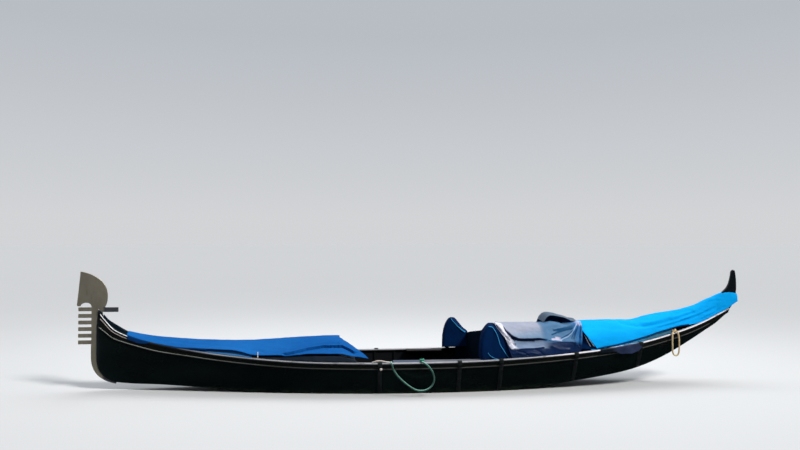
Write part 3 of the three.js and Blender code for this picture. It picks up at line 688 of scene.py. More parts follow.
def spaced(points, step=None, count=None):
    """The same line with its points a step apart, or in a count of equal steps."""
    p = np.array(points, float)
    along = np.concatenate([[0], np.cumsum(np.linalg.norm(np.diff(p, axis=0), axis=1))])
    count = count or max(int(round(along[-1] / step)), 2)
    wanted = np.linspace(0, along[-1], count + 1)
    return np.stack([np.interp(wanted, along, p[:, k]) for k in range(3)], axis=1)


def tube_rings(path, radius, sides, section=None):
    """Rings round a path. section(i, angle) is the share of the radius."""
    path = np.array(path, float)
    tangents = np.gradient(path, axis=0)
    tangents /= np.linalg.norm(tangents, axis=1)[:, None]
    across = np.cross(tangents[0], (0, 0, 1))
    if np.linalg.norm(across) < 0.2:
        across = np.cross(tangents[0], (0, 1, 0))
    rings = []
    for i, (p, t) in enumerate(zip(path, tangents)):
        across = across - t * (across @ t)
        across /= np.linalg.norm(across)
        up = np.cross(t, across)
        size = radius(i / (len(path) - 1)) if callable(radius) else radius
        ring = []
        for j in range(sides):
            a = 2 * math.pi * j / sides
            r = size * (section(i, a) if section else 1)
            ring.append(tuple(p + r * (math.cos(a) * across + math.sin(a) * up)))
        rings.append(ring)
    return rings


TUBE_SIDES = 8


def tube(name, path, radius, material):
    return swept(name, tube_rings(path, radius, TUBE_SIDES), material, sharp=ROUND_SHARP_ANGLE)


ROPE_RADIUS, ROPE_STEP, ROPE_LAY, ROPE_SIDES = 0.0125, 0.004, 0.085, 18
STRANDS, STRAND_LOW, STRAND_RISE = 3, 0.84, 0.2


def laid_rope(name, path, material, node, radius=ROPE_RADIUS, lay=ROPE_LAY, sides=ROPE_SIDES):
    """A rope of twisted strands, and the line along its middle."""
    turn = 2 * math.pi * ROPE_STEP / lay

    def section(i, angle):
        return STRAND_LOW + STRAND_RISE * abs(math.cos(STRANDS / 2 * (angle - turn * i))) ** 0.75

    line = spaced(path, ROPE_STEP)
    rings = tube_rings(line, radius, sides, section)
    return swept(name, rings, material, (node,), math.pi), line


# the ropes
BIGHT_ROUTE = metres([
    (506, 796, 516), (552, 801, 519), (610, 804, 530), (665, 804, 541), (720, 800, 538), (765, 792, 522),
    (788, 780, 515), (775, 767, 515), (730, 763, 524), (668, 764, 527), (600, 768, 520), (526, 774, 515),
])
MOORING_ROUTE = metres([
    (500, 815, 519), (499, 828, 518), (497, 843, 512), (493, 855, 498), (488, 862, 474), (480, 864, 444),
    (468, 864, 412), (446, 864, 374), (412, 864, 326), (366, 864, 276), (310, 864, 224), (246, 864, 174),
    (190, 864, 136), (130, 864, 104), (60, 864, 92), (-8, 864, 98), (-68, 864, 124), (-114, 864, 168),
    (-140, 864, 224), (-146, 864, 286), (-132, 864, 346), (-104, 864, 400), (-70, 863, 446),
    (-34, 860, 482), (0, 851, 505), (20, 838, 516), (29, 827, 519), (30, 823, 519.5),
])
STERN_ROUTE = metres([
    (-4162, 292, 850), (-4155, 303, 850), (-4143, 317, 846), (-4134, 330, 832), (-4129, 340, 808),
    (-4126, 345, 780), (-4124, 348, 730), (-4123, 349, 670), (-4123, 349, 610), (-4125, 349, 560),
    (-4133, 349, 520), (-4152, 349, 492), (-4180, 349, 482), (-4208, 349, 492), (-4227, 349, 520),
    (-4235, 349, 560), (-4237, 349, 610), (-4237, 349, 670), (-4236, 347, 730), (-4234, 343, 785),
    (-4231, 334, 826), (-4228, 319, 853), (-4223, 305, 864), (-4219, 293.5, 866),
])

TURNS, TURNS_RADIUS, TURNS_RISE, TURNS_ROPE_RADIUS = 2.6, 0.030, 0.030, 0.0118


def rope_turns(name, x, material):
    """Turns of laid rope lying on the gunwale, with the end tucked under."""
    radius = TURNS_RADIUS
    slope = math.atan((sheer_z(x + radius) - sheer_z(x - radius)) / (2 * radius))
    centre_y, low = sheer_half(x, 1) - radius, sheer_z(x) + ROPE_RADIUS + 0.002
    path = []
    for t in steps(0, 1, 120):
        a = 2 * math.pi * TURNS * t
        r = radius * (1.02 - 0.16 * t)
        z = low + TURNS_RISE * t + r * math.cos(a) * math.tan(slope)
        path.append((x + r * math.cos(a), centre_y + r * math.sin(a), z))
    return laid_rope(name, path, material, f"rope_{name}", TURNS_ROPE_RADIUS)[0]


BIGHT_RADIUS, BIGHT_LAY, BIGHT_SIDES = 0.008, 0.05, 12
bight, bight_line = laid_rope(
    "bight_line", spline(BIGHT_ROUTE, 8), THIN_LINE, "rope_turns_fore",
    BIGHT_RADIUS, BIGHT_LAY, BIGHT_SIDES,
)
turns_aft = rope_turns("turns_aft", 0.030, GREEN_TURNS_SHADED)
turns_stern = rope_turns("turns_stern", -4.190, TAN_ROPE)
mooring_loop, mooring_line = laid_rope(
    "mooring_rope", spline(MOORING_ROUTE, 12), GREEN_ROPE, "mooring_loop"
)
stern_loop, stern_line = laid_rope("stern_rope", spline(STERN_ROUTE, 12), TAN_ROPE, "stern_loop")
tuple(MOORING_ROUTE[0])
length_of(mooring_line)
spaced(mooring_line, 0.02)
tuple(BIGHT_ROUTE[0])
length_of(bight_line)
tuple(STERN_ROUTE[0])
length_of(stern_line)
spaced(stern_line, 0.02)

# a small ball of line, wound on the first port strap
KNOB_PLACE, KNOB_RADIUS, KNOB_TURNS, KNOB_LINE_RADIUS = (0.657, 0.838, 0.416), 0.017, 5, 0.0048
knob_path = []
for t in steps(-1, 1, 160):
    angle = 2 * math.pi * KNOB_TURNS * t / 2
    wide = KNOB_RADIUS * math.cos(1.35 * t)
    offset = (wide * math.cos(angle), wide * math.sin(angle), 0.85 * KNOB_RADIUS * math.sin(1.35 * t))
    knob_path.append(tuple(a + b for a, b in zip(KNOB_PLACE, offset)))
tube("strap_knob", knob_path, KNOB_LINE_RADIUS, THIN_LINE)

# hull
SIDES = (("port", 1), ("starboard", -1))
LENGTHS = ("aft", "middle", "fore")
PLANKING_ENDS, BOTTOM_ENDS, RAIL_ENDS = (-5.26, 5.06), (-4.78, 4.64), (-5.27, 5.085)
RUB_ENDS, BEAD_ENDS, FLOOR_ENDS = (-4.9, 5.066), (4.5, 5.05), (-2.9, 2.9)
AFT_JOINT, FORE_JOINT = -1.150, 1.150
RAIL_STEP, GUNWALE_ROUND = 0.035, 0.014
RUB_OUT, RUB_HALF_WIDTH, RUB_ROUND = 0.0075, 0.0065, 0.006


def stations(a, b, step):
    return steps(a, b, max(int(round((b - a) / step)), 2))


STRAKE_PROUD, STRAKE_EDGE = 0.005, 0.004


def side_planking(label, side):
    xs = stations(*PLANKING_ENDS, 0.04)
    outer_levels, inner_levels = steps(0, 1, 26), steps(1, 0, 6)
    rings = []
    for x in xs:
        low, top = chine_z(x), sheer_z(x) - GUNWALE_HEIGHT - GAP
        ring = []
        for t in outer_levels:
            z = lerp(low, top, t)
            proud = STRAKE_PROUD * smoothstep(z, rub_z(x) - STRAKE_EDGE, rub_z(x) + STRAKE_EDGE)
            proud *= smoothstep(abs(x), 5.2, 4.9)
            ring.append((x, side * (side_half(x, z, side) + proud), z))
        for t in inner_levels:
            z = lerp(low, top, t)
            ring.append((x, side * side_inner_half(x, z, side), z))
        rings.append(ring)

    def pick(i, j):
        if j >= len(outer_levels) - 1:
            return 2
        z = lerp(chine_z(xs[i]), sheer_z(xs[i]) - GUNWALE_HEIGHT, (j + 0.5) / (len(outer_levels) - 1))
        return 1 if z > rub_z(xs[i]) else 0

    name = f"planking_{label}"
    nodes = [f"side_planking_{label}_{part}" for part in LENGTHS]
    piece(name, sweep(name, rings, pick=pick), HULL_LACQUER, nodes, (STRAKE, DARK_WOOD))


def rail_ring(x, y, z, side, half_wide, half_high, radius):
    return [(x, side * (y + a), z + b) for a, b in rounded(half_wide, half_high, radius)]


UPPER_BEAD_DEPTH, LOWER_BEAD_DEPTH, LOWER_BEAD_OUT = 0.009, 0.049, 0.006
BEAD_RADIUS, BEAD_END_RADIUS = 0.0058, 0.0008


def fall(x, depth):
    """How far below the sheer a line runs that keeps this depth, measured square to the sheer."""
    return depth * math.hypot(1, (sheer_z(x + 0.01) - sheer_z(x - 0.01)) / 0.02)


def upper_bead(x, side):
    return gunwale_outer_half(x, side), sheer_z(x) - fall(x, UPPER_BEAD_DEPTH)


def lower_bead(x, side):
    z = sheer_z(x) - fall(x, LOWER_BEAD_DEPTH)
    return side_half(x, z, side) + LOWER_BEAD_OUT, z


def bead_radius(t):
    return BEAD_RADIUS * smoothstep(t, 0, 0.25) + BEAD_END_RADIUS


for label, side in SIDES:
    side_planking(label, side)

    rings = []
    for x in stations(*RAIL_ENDS, RAIL_STEP):
        inner, outer = gunwale_inner_half(x, side), gunwale_outer_half(x, side)
        half, middle = (outer - inner) / 2, (outer + inner) / 2
        z = sheer_z(x) - GUNWALE_HEIGHT / 2
        rings.append(rail_ring(x, middle, z, side, half, GUNWALE_HEIGHT / 2, min(GUNWALE_ROUND, half * 0.6)))
    swept(f"rail_{label}", rings, RAIL, (f"gunwale_{label}",), ROUND_SHARP_ANGLE)

    rings = []
    for x in stations(*RUB_ENDS, RAIL_STEP):
        y, z = side_half(x, rub_z(x), side) + RUB_OUT, rub_z(x)
        rings.append(rail_ring(x, y, z, side, RUB_HALF_WIDTH, RUB_HEIGHT / 2, RUB_ROUND))
    swept(f"rubbing_{label}", rings, RUB_RAIL, (f"rub_strip_{label}",), ROUND_SHARP_ANGLE)

    # beads along the rail and just below it where it climbs to the stem, pale nearly all round as painted
    # highlights, the upper one a bright painted glint
    for tag, bead, finish in (("upper", upper_bead, BEAD_GLINT), ("lower", lower_bead, BEAD)):
        path = []
        for x in stations(*BEAD_ENDS, 0.025):
            half, z = bead(x, side)
            path.append((x, side * half, z))
        tube(f"bead_{tag}_{label}", path, bead_radius, finish)

BOTTOM_INSET = 0.02
rings = []
for x in stations(*BOTTOM_ENDS, 0.06):
    ys = [BOTTOM_INSET - chine_half(x, -1), 0, chine_half(x, 1) - BOTTOM_INSET]
    low = [(x, y, chine_z(x)) for y in ys]
    rings.append(low + [(x, y, chine_z(x) + BOTTOM_THICKNESS) for y in reversed(ys)])
swept("bottom", rings, HULL_LACQUER, [f"bottom_planking_{part}" for part in LENGTHS])


# plates on the centreline
def arc(a, control, b, count):
    """Points on a quadratic curve from a to b."""
    a, control, b = np.array(a, float), np.array(control, float), np.array(b, float)
    return [(1 - t) ** 2 * a + 2 * t * (1 - t) * control + t * t * b for t in steps(0, 1, count)]


def outline(start, *moves):
    """Points from start through moves, each (x, z) or (control x, control z, x, z)."""
    points = [start]
    for move in moves:
        if len(move) == 2:
            points.append(move)
        else:
            points += arc(points[-1], move[:2], move[2:], 12)[1:]
    return points


BEVEL_OVER = math.radians(40)


def plate(name, points, half, bevel, material, node, segments=3):
    """A plate on the centreline with rounded edges."""
    bm = bmesh.new()
    face = bm.faces.new([bm.verts.new((x, -half, z)) for x, z in points])
    made = bmesh.ops.extrude_face_region(bm, geom=[face])
    moved = [v for v in made["geom"] if isinstance(v, bmesh.types.BMVert)]
    bmesh.ops.translate(bm, verts=moved, vec=(0, 2 * half, 0))
    bmesh.ops.recalc_face_normals(bm, faces=bm.faces)
    for f in bm.faces:
        f.smooth = True
    soft = piece(name, mesh_from(bm, name), material, (node,)).modifiers.new("edge", "BEVEL")
    soft.width, soft.segments, soft.harden_normals = bevel, segments, True
    soft.limit_method, soft.angle_limit = "ANGLE", BEVEL_OVER


stem_points = outline(*metres((
    (4700, 121), (4800, 122), (5112, 190, 5112, 520), (5112, 1000), (5088, 1264), (5030, 1227), (4990, 1000),
    (4980, 520), (4970, 300, 4760, 240), (4700, 230),
)))
STEM_BEVEL, HORN_BEVEL = 0.006, 0.013
plate("stem", stem_points, POST_HALF, STEM_BEVEL, LACQUER, "stem_post")

horn_points = outline(*metres((
    (-4830, 835), (-5130, 995, -5323, 1245), (-5412, 1380, -5412, 1600), (-5410, 1760, -5388, 1846),
    (-5350, 1880, -5320, 1826), (-5292, 1600, -5213, 1534), (-5140, 1460, -5070, 1412),
    (-5030, 1200, -4830, 980),
)))
plate("stern_horn", horn_points, POST_HALF, HORN_BEVEL, LACQUER, "stern_post", 4)

# the bow iron, in millimetres: its six teeth, then its whole outline
TOOTH_TOP, TOOTH_PITCH, TOOTH_HEIGHT, TOOTH_TIP, STRIP_FORE = 1303, 104, 62, 5398, 5196
TOOTH_LOW_ROUND, TOOTH_ROUND = 12, 10
teeth = []
for i in range(5, -1, -1):
    top = TOOTH_TOP - i * TOOTH_PITCH
    low = top - TOOTH_HEIGHT
    teeth += [
        (STRIP_FORE, low), (TOOTH_TIP - TOOTH_ROUND, low), (TOOTH_TIP, low, TOOTH_TIP, low + TOOTH_LOW_ROUND),
        (TOOTH_TIP, top - TOOTH_LOW_ROUND), (TOOTH_TIP, top, TOOTH_TIP - TOOTH_ROUND, top), (STRIP_FORE, top),
    ]
iron_points = outline(*metres((
    (4812, 96), (5196, 170, 5200, 520), (5200, 690), *teeth, (5200, 1372, 5276, 1374),
    (5352, 1372, 5368, 1322), (5402, 1318), (5424, 1330, 5420, 1345), (5392, 1600, 5368, 1868),
    (5180, 1840, 5040, 1716), (4948, 1620, 4948, 1480), (4950, 1362, 4992, 1301), (4784, 1301), (4784, 1235),
    (4784, 1227, 4792, 1227), (5020, 1227), (5094, 1276), (5112.4, 1000), (5112.4, 520),
    (5112.4, 189.6, 4800, 121.6),
)))
IRON_HALF, IRON_BEVEL = 0.009, 0.003
plate("iron", iron_points, IRON_HALF, IRON_BEVEL, IRON, "bow_iron")


# decks, floor and frames
FORE_RIDGE = metres([(3200, 95), (4300, 50), (4620, 52), (4760, 74), (4850, 75), (4930, 50), (5004, 54)])
AFT_RIDGE = metres([(-4890, 110), (-4300, 130), (-3150, 105)])
DECK_DROP, DECK_THICKNESS = 0.010, 0.014


def deck_sheet(name, node, ridge):
    """A deck between the gunwales, cambered up to a ridge that is given as (x, rise)."""
    rise = through(ridge)
    rings = []
    across = steps(-1, 1, 24)
    for x in stations(ridge[0][0], ridge[-1][0], 0.05):
        def place(v, drop):
            half = gunwale_inner_half(x, side_of(v)) - GAP
            return (x, v * half, sheer_z(x) - DECK_DROP + rise(x) * (1 - abs(v) ** 1.6) - drop)
        rings.append([place(v, 0) for v in across] + [place(v, DECK_THICKNESS) for v in reversed(across)])
    swept(name, rings, DECK, (node,))


deck_sheet("fore_deck", "bow_deck", FORE_RIDGE)
deck_sheet("aft_deck", "stern_deck", AFT_RIDGE)

TIMBER_HEIGHT, BOARD_INSET, GROOVE_WIDTH, GROOVE_DEPTH = 0.042, 0.024, 0.003, 0.008
BOARD_LOW, BOARD_TOP = 0.006, 0.021
BOARD_WIDTHS = ((-0.9, -0.34, 2), (-0.3, 0.3, 3), (0.34, 0.9, 2))


def floor_panel(part, x0, x1):
    """Three widths of floorboards, each grooved between its planks."""
    parts = []
    for lo, hi, planks in BOARD_WIDTHS:
        rings = []
        for x in stations(x0, x1, 0.1):
            timber_top = chine_z(x) + BOTTOM_THICKNESS + GAP + TIMBER_HEIGHT
            top, low = timber_top + BOARD_TOP, timber_top + BOARD_LOW
            groove = top - GROOVE_DEPTH
            edges = [v * (chine_half(x, side_of(v)) - BOARD_INSET) for v in (lo, hi)]
            ring = []
            for k in range(planks):
                p, q = lerp(*edges, k / planks), lerp(*edges, (k + 1) / planks)
                ring += [(x, p, groove), (x, p + GROOVE_WIDTH, top)]
                ring += [(x, q - GROOVE_WIDTH, top), (x, q, groove)]
            rings.append(ring + [(x, edges[1], low), (x, edges[0], low)])
        parts.append((*skin(rings), 0))
    name = f"floor_{part}"
    piece(name, joined_mesh(name, parts), FLOOR_WOOD, (f"floorboards_{part}",))


floor_panel("aft", FLOOR_ENDS[0], AFT_JOINT)
floor_panel("middle", AFT_JOINT + GAP, FORE_JOINT)
floor_panel("fore", FORE_JOINT + GAP, FLOOR_ENDS[1])


def refinish(node, material):
    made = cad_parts[node]
    made.data.materials.clear()
    made.data.materials.append(material)


for node in (
    "bow_deck_beam", "stern_deck_beam", "thwart", "floor_timbers_aft", "floor_timbers_fore",
    "ribs_port_aft", "ribs_port_fore", "ribs_starboard_aft", "ribs_starboard_fore",
):
    refinish(node, DARK_WOOD)
refinish("side_board_port", BOARD)
refinish("side_board_starboard", BOARD_DARK)

# fender straps
STRAP_PLACES = (0.670, -0.550, -1.202, -2.430, -3.560)
STRAP_HALF_WIDTH, STRAP_HALF_THICKNESS, STRAP_ROUND, STRAP_OFF = 0.033, 0.0032, 0.003, 0.0034
STRAP_LOW_END, STRAP_ABOVE_CHINE = 0.030, 0.020
LIP_INSIDE, LIP_RISE = 0.022, 0.0016
# where the strap passes over the rub strip: from its middle, out from the side there, and where it lies
STRAP_OVER_RUB = metres(((14, 14, 16), (0, 16.5, 0), (-14, 14, -18), (-50, 5, -55)))


def strap(name, node, place, side):
    """A strap over the gunwale and down the side, with a raised lip along each edge."""
    outer, top, rub = gunwale_outer_half(place, side), sheer_z(place), rub_z(place)
    under = top - GUNWALE_HEIGHT
    points = [
        (gunwale_inner_half(place, side) + 0.006, top + 0.002), (outer - 0.004, top + 0.003),
        (outer + 0.004, top - 0.004), (outer + 0.005, top - 0.020), (outer + 0.004, under),
        (outer + 0.001, under - 0.018),
    ]
    for level, away, lies in STRAP_OVER_RUB:
        points.append((side_half(place, rub + level, side) + away, rub + lies))
    high, low = points[-1][1], max(STRAP_LOW_END, chine_z(place) + STRAP_ABOVE_CHINE)
    for t in (0.25, 0.5, 0.75, 1):
        z = lerp(high, low, t)
        points.append((side_half(place, z, side) + 0.004, z))
    centre = spline([(a, b, 0) for a, b in points], 3)
    section = rounded(STRAP_HALF_WIDTH, STRAP_HALF_THICKNESS, STRAP_ROUND, 2)
    rings = []
    for k in range(len(centre)):
        a, b = centre[max(k - 1, 0)], centre[min(k + 1, len(centre) - 1)]
        along = (b - a) / np.linalg.norm(b - a)
        out = np.array([-along[1], along[0], 0])
        if out[0] < -0.5 or out[1] < -0.5:
            out = -out
        ring = []
        for w, d in section:
            lip = LIP_RISE if abs(w) > LIP_INSIDE and d > 0 else 0
            spot = centre[k] + out * (d + STRAP_OFF) + out * lip
            ring.append((place + w, side * spot[0], spot[1]))
        rings.append(ring)
    swept(name, rings, RUBBER, (node,))


for label, side in SIDES:
    for i, place in enumerate(STRAP_PLACES):
        strap(f"strap_{label}_{i + 1}", f"fender_strap_{label}_{i + 1}", place, side)


# cloth
def field(points, displacement):
    """Moves a grid of points along its normals, by displacement(v, point), v from 0 to 1 across."""
    along_u, along_v = np.gradient(points, axis=0), np.gradient(points, axis=1)
    normals = np.cross(along_u, along_v)
    normals /= np.maximum(np.linalg.norm(normals, axis=2), 1e-9)[:, :, None]
    if normals[:, :, 2].sum() < 0:
        normals = -normals
    n, m = points.shape[:2]
    moved = points.copy()
    for i in range(n):
        for j in range(m):
            moved[i, j] += normals[i, j] * displacement(j / (m - 1), points[i, j])
    return moved


def wrinkle(point, scale, seed):
    spot = Vector((point[0] * scale[0] + seed, point[1] * scale[1], point[2] * scale[2]))
    return noise.fractal(spot, 0.8, 2.0, 3, noise_basis="PERLIN_ORIGINAL")


def nearest(point, line):
    """How far a point is from a line of (x, z) points, and how far above its nearest place."""
    x, z = point[0], point[2]
    best, above = 1e9, 1
    for (x0, z0), (x1, z1) in zip(line, line[1:]):
        length = max((x1 - x0) ** 2 + (z1 - z0) ** 2, 1e-9)
        t = clamp(((x - x0) * (x1 - x0) + (z - z0) * (z1 - z0)) / length)
        rise = z - lerp(z0, z1, t)
        gap = math.hypot(x - lerp(x0, x1, t), rise)
        if gap < best:
            best, above = gap, rise
    return best, above


def crease(point, line, width):
    """1 on a line of (x, z) points, falling to 0 past the width."""
    return math.exp(-((nearest(point, line)[0] / width) ** 2))


def creases(point, folds):
    """The sum of folds, each a line, how far it stands out and its half width."""
    return sum(depth * crease(point, line, width) for line, depth, width in folds)


def ledge(point, line, lip, recess, reach):
    """A fold that overhangs: it stands out above a line of (x, z) points and steps back below."""
    best, above = nearest(point, line)
    return (lip if above > 0 else -recess) * math.exp(-best / reach)


THICK_CLOTH, THIN_CLOTH = 0.003, 0.002


def cloth(name, points, material, replaced=(), thick=THIN_CLOTH, lining=None):
    """A sheet of cloth on a grid of points, its second half across finished with the lining, if given."""
    rows, columns = points.shape[:2]
    faces, indices = [], []
    for i in range(rows - 1):
        for j in range(columns - 1):
            a, b = i * columns + j, (i + 1) * columns + j
            faces.append((a, a + 1, b + 1, b))
            indices.append(1 if lining and j / columns > 0.5 else 0)
    data = mesh_of(name, points.reshape(-1, 3).tolist(), faces, indices, CLOTH_SHARP_ANGLE)
    made = piece(name, data, material, replaced, (lining,) if lining else ())
    wall = made.modifiers.new("cloth", "SOLIDIFY")
    wall.thickness, wall.offset = thick, -1.0
    return made


def loft(rows, along, across):
    """A grid of points through rows of control points, smooth both ways."""
    wide = np.array([spline(row, across) for row in rows])
    return np.stack([spline(wide[:, j], along) for j in range(wide.shape[1])], axis=1)


def edge_tube(name, line, radius, material):
    return tube(name, spaced(line, 0.02), radius, material)


# bow cover
BOW_RIDGE = through(metres([
    (1300, 812), (1331, 815), (1450, 815), (1830, 804), (2300, 778), (2720, 765), (3400, 780), (3860, 812),
    (4310, 858), (4620, 925),
]))
BOW_EDGE = through(metres([
    (850, 572), (900, 583), (1100, 614), (1234, 642), (1430, 650), (1580, 652), (1840, 648), (2110, 630),
    (2320, 621), (2520, 616), (2640, 624), (2730, 650), (2860, 676), (3050, 686), (3250, 692), (3510, 701),
    (3776, 712), (3960, 735), (4137, 760), (4314, 796), (4480, 836), (4620, 880),
]))
BOW_FOLD = metres([
    (2100, 640), (1985, 657), (1793, 694), (1539, 725), (1247, 731), (1160, 700), (1068, 656),
])
# creases: a line of (x, z), how far it stands out and its half width
BOW_CREASES = metres([
    ([(2050, 668), (1810, 704), (1510, 742), (1300, 752)], -12, 10),
    ([(1900, 655), (1700, 682), (1480, 700)], -12, 10),
    ([(3900, 775), (3600, 748), (3250, 728), (2900, 706), (2650, 668), (2450, 650)], -12, 14),
])
BOW_AFT, BOW_FORE, BOW_SLANT, BOW_SLANT_END = 0.85, 4.62, 0.450, 1.9


def bow_slant(x):
    """The aft end of the cover lies further forward at the ridge than at the port edge."""
    return x + BOW_SLANT * max(0.0, (BOW_SLANT_END - x) / (BOW_SLANT_END - BOW_AFT))


def bow_point(x, v):
    side = side_of(v)
    a = abs(v)
    px = lerp(bow_slant(x), x, a * a) if side > 0 else bow_slant(x)
    half = max(sheer_half(px, side) - 0.012, 0.045)
    sag = 0.012 * math.sin(math.pi * a) * smoothstep(x, 4.5, 3.5)
    fullness = lerp(2.6, 1.45, smoothstep(x, 0.85, 1.8))
    z = lerp(BOW_RIDGE(bow_slant(x)), BOW_EDGE(px if side > 0 else max(px, 1.6)), a**fullness) - sag
    return (px, side * half * (a ** 0.96), z)


def bow_shape(v, p):
    d = 0.010 * wrinkle(p, (1.1, 3.0, 3.0), 3.1) * (1 - 0.5 * abs(2 * v - 1))
    d += 0.004 * wrinkle(p, (4.0, 9.0, 9.0), 8.7)
    folds = ledge(p, BOW_FOLD, 0.016, 0.030, 0.035) + creases(p, BOW_CREASES)
    return d + smoothstep(p[1], 0.05, 0.3) * folds


def cloth_grid(point, xs, vs, shape):
    """A cloth's points: where it lies, then moved by its folds."""
    return field(np.array([[point(x, v) for v in vs] for x in xs]), shape)


bow_xs = steps(BOW_AFT, 2.25, 135) + steps(2.25, BOW_FORE, 105)[1:]
bow_vs = steps(-1, 0.2, 46) + steps(0.2, 1, 94)[1:]
bow_grid = cloth_grid(bow_point, bow_xs, bow_vs, bow_shape)
bow_cover = cloth("bow_canvas", bow_grid, BLUE, ("bow_cover",), THICK_CLOTH)
# the port hem's fore part is a thicker dark tube hung just under the edge: a painted shadow
HEM_RADIUS, HEM_DARK_RADIUS, HEM_DARK_FROM, HEM_DARK_DROP = 0.005, 0.013, 3.30, 0.012
dark = next(i for i, x in enumerate(bow_xs) if x > HEM_DARK_FROM)
bow_hems = [
    edge_tube(f"bow_canvas_hem_{label}", line, radius, finish)
    for label, line, radius, finish in (
        ("port", bow_grid[:dark + 1, -1], HEM_RADIUS, BLUE),
        ("port_fore_shadow", bow_grid[dark:, -1] - (0, 0, HEM_DARK_DROP), HEM_DARK_RADIUS, BLUE_SHADED_HEM),
        ("starboard", bow_grid[:, 0], HEM_RADIUS, BLUE),
        ("aft", bow_grid[0, :], HEM_RADIUS, BLUE),
    )
]
TIE_ROUTE = metres([
    (2515, 652, 668), (2512, 680, 655), (2510, 705, 632), (2508, 718, 604), (2506, 735, 600),
])
TIE_STEP, TIE_RADIUS = 0.008, 0.006
bow_tie = tube("bow_canvas_tie", spaced(spline(TIE_ROUTE, 6), TIE_STEP), TIE_RADIUS, THIN_LINE)
# the cover's fore end, turned down over the port gunwale, in the dark blue of painted shade
TURNED_ENDS, TURNED_DROP = (4.24, 4.60), 0.044
rows = []
for x in steps(*TURNED_ENDS, 30):
    half, top = sheer_half(x, 1), sheer_z(x)
    drop = TURNED_DROP * smoothstep(x, 4.22, 4.38) + 0.003 * math.sin(40 * x)
    rows.append([
        (x, half - 0.014, BOW_EDGE(x) - 0.006), (x, half + 0.006, top + 0.004),
        (x, half + 0.013, top - 0.008), (x, half + 0.014, top - 0.012 - 0.5 * drop),
        (x, half + 0.013, top - 0.014 - drop),
    ])
bow_turned = cloth("bow_canvas_turned_edge", grid_of(rows, 5), BLUE_SHADED_HEM)

# pale inner flap of the bow cover, folded out along the port gunwale
# across the flap: how far in from the sheer, and the share of its height
FLAP_SHARES = ((0.098, 1.0), (0.070, 0.78), (0.035, 0.43), (0.006, 0.12))
FLAP_ENDS, FLAP_AFT_HEIGHT, FLAP_FORE_HEIGHT, FLAP_UNDER = (2.62, 3.92), 0.066, 0.040, 0.016
rows = []
for x in steps(*FLAP_ENDS, 60):
    wave = 0.004 * math.sin(9 * x) + 0.003 * math.sin(23 * x)
    height = lerp(FLAP_AFT_HEIGHT, FLAP_FORE_HEIGHT, smoothstep(x, 3.1, 3.6)) + wave
    top = min(height, BOW_EDGE(x) - FLAP_UNDER - sheer_z(x))
    rows.append([(x, sheer_half(x, 1) - inset, sheer_z(x) + share * top) for inset, share in FLAP_SHARES])
bow_flap = cloth("bow_canvas_flap", grid_of(rows, 4), BLUE_FLAP)


# inner cover
INNER_ENDS, INNER_DROP, INNER_INSET, INNER_EDGE_TOP = (1.0, 2.62), 0.040, 0.034, 0.640
# from this share of the way across, the cloth hangs down to the gunwale
INNER_TURN = 0.93


def inner_point(x, v):
    side = side_of(v)
    a, past = min(abs(v) / INNER_TURN, 1), max(0, abs(v) - INNER_TURN) / 0.07
    px = bow_slant(x) + 0.02 if side < 0 else lerp(bow_slant(x) + 0.02, x, v * v)
    top = lerp(BOW_RIDGE(bow_slant(x)), min(BOW_EDGE(x), INNER_EDGE_TOP), a ** 1.45) - INNER_DROP
    half = sheer_half(x, side) - INNER_INSET
    return (px, side * half * a ** 0.97 + side * 0.008 * past, lerp(top, sheer_z(x) + 0.005, past))


def inner_shape(v, p):
    return 0.006 * wrinkle(p, (9.0, 2.0, 2.5), 21.0) + 0.004 * wrinkle(p, (3.0, 5.0, 8.0), 4.0)


inner_grid = cloth_grid(inner_point, steps(*INNER_ENDS, 80), steps(-1, 1, 120), inner_shape)
inner_cover = cloth("inner_cloth", inner_grid, SLATE, ("inner_cover",), THICK_CLOTH)


# chair covers
def rounded_loop(corners, radius, count):
    """Points an equal way apart round a polygon with round corners, from the middle of its first corner."""
    ring = []
    for i, corner in enumerate(corners):
        c = np.array(corner, float)
        ends = []
        for other in (corners[i - 1], corners[(i + 1) % len(corners)]):
            way = np.array(other, float) - c
            size = np.linalg.norm(way)
            ends.append(c + way / max(size, 1e-6) * min(radius, size * 0.45))
        ring += arc(ends[0], c, ends[1], 8)
    return spaced(ring[4:] + ring[:5], count=count)[:-1]


HOOD_LEAN, HOOD_POINTS = 0.04, 96


def hood(levels, near, far, tilt, radius, folds, seed):
    """Rings up a cover over one chair. levels: z, then the fore and aft ends of its near and far sides."""
    rings = []
    for z, near_fore, near_aft, far_fore, far_aft in spline(levels, 6):
        lean = HOOD_LEAN * clamp((z - 0.5) / 0.55)
        near_y, far_y, far_z = near - lean, far + lean, z + tilt(z)
        corners = [(near_aft, near_y, z), (near_fore, near_y, z)]
        corners += [(far_fore, far_y, far_z), (far_aft, far_y, far_z)]
        rings.append(rounded_loop(corners, radius, HOOD_POINTS))
    grid = np.array(rings)
    centre = grid.mean(axis=1, keepdims=True)
    for i in range(grid.shape[0]):
        for j in range(grid.shape[1]):
            p = grid[i, j]
            way = (p - centre[i, 0]) * (1, 1, 0)
            size = np.linalg.norm(way)
            d = 0.007 * wrinkle(p, (4.5, 4.5, 2.5), seed) + 0.003 * wrinkle(p, (12, 12, 6), seed + 5)
            d += creases(p, folds)
            grid[i, j] = p + way / max(size, 1e-6) * d * clamp(size / 0.1)
    return grid


def hood_skin(grid):
    """The skin of a hood, open below."""
    points, faces = skin(grid, caps=False)
    faces.append(tuple(reversed(range(len(points) - HOOD_POINTS, len(points)))))
    return points, faces


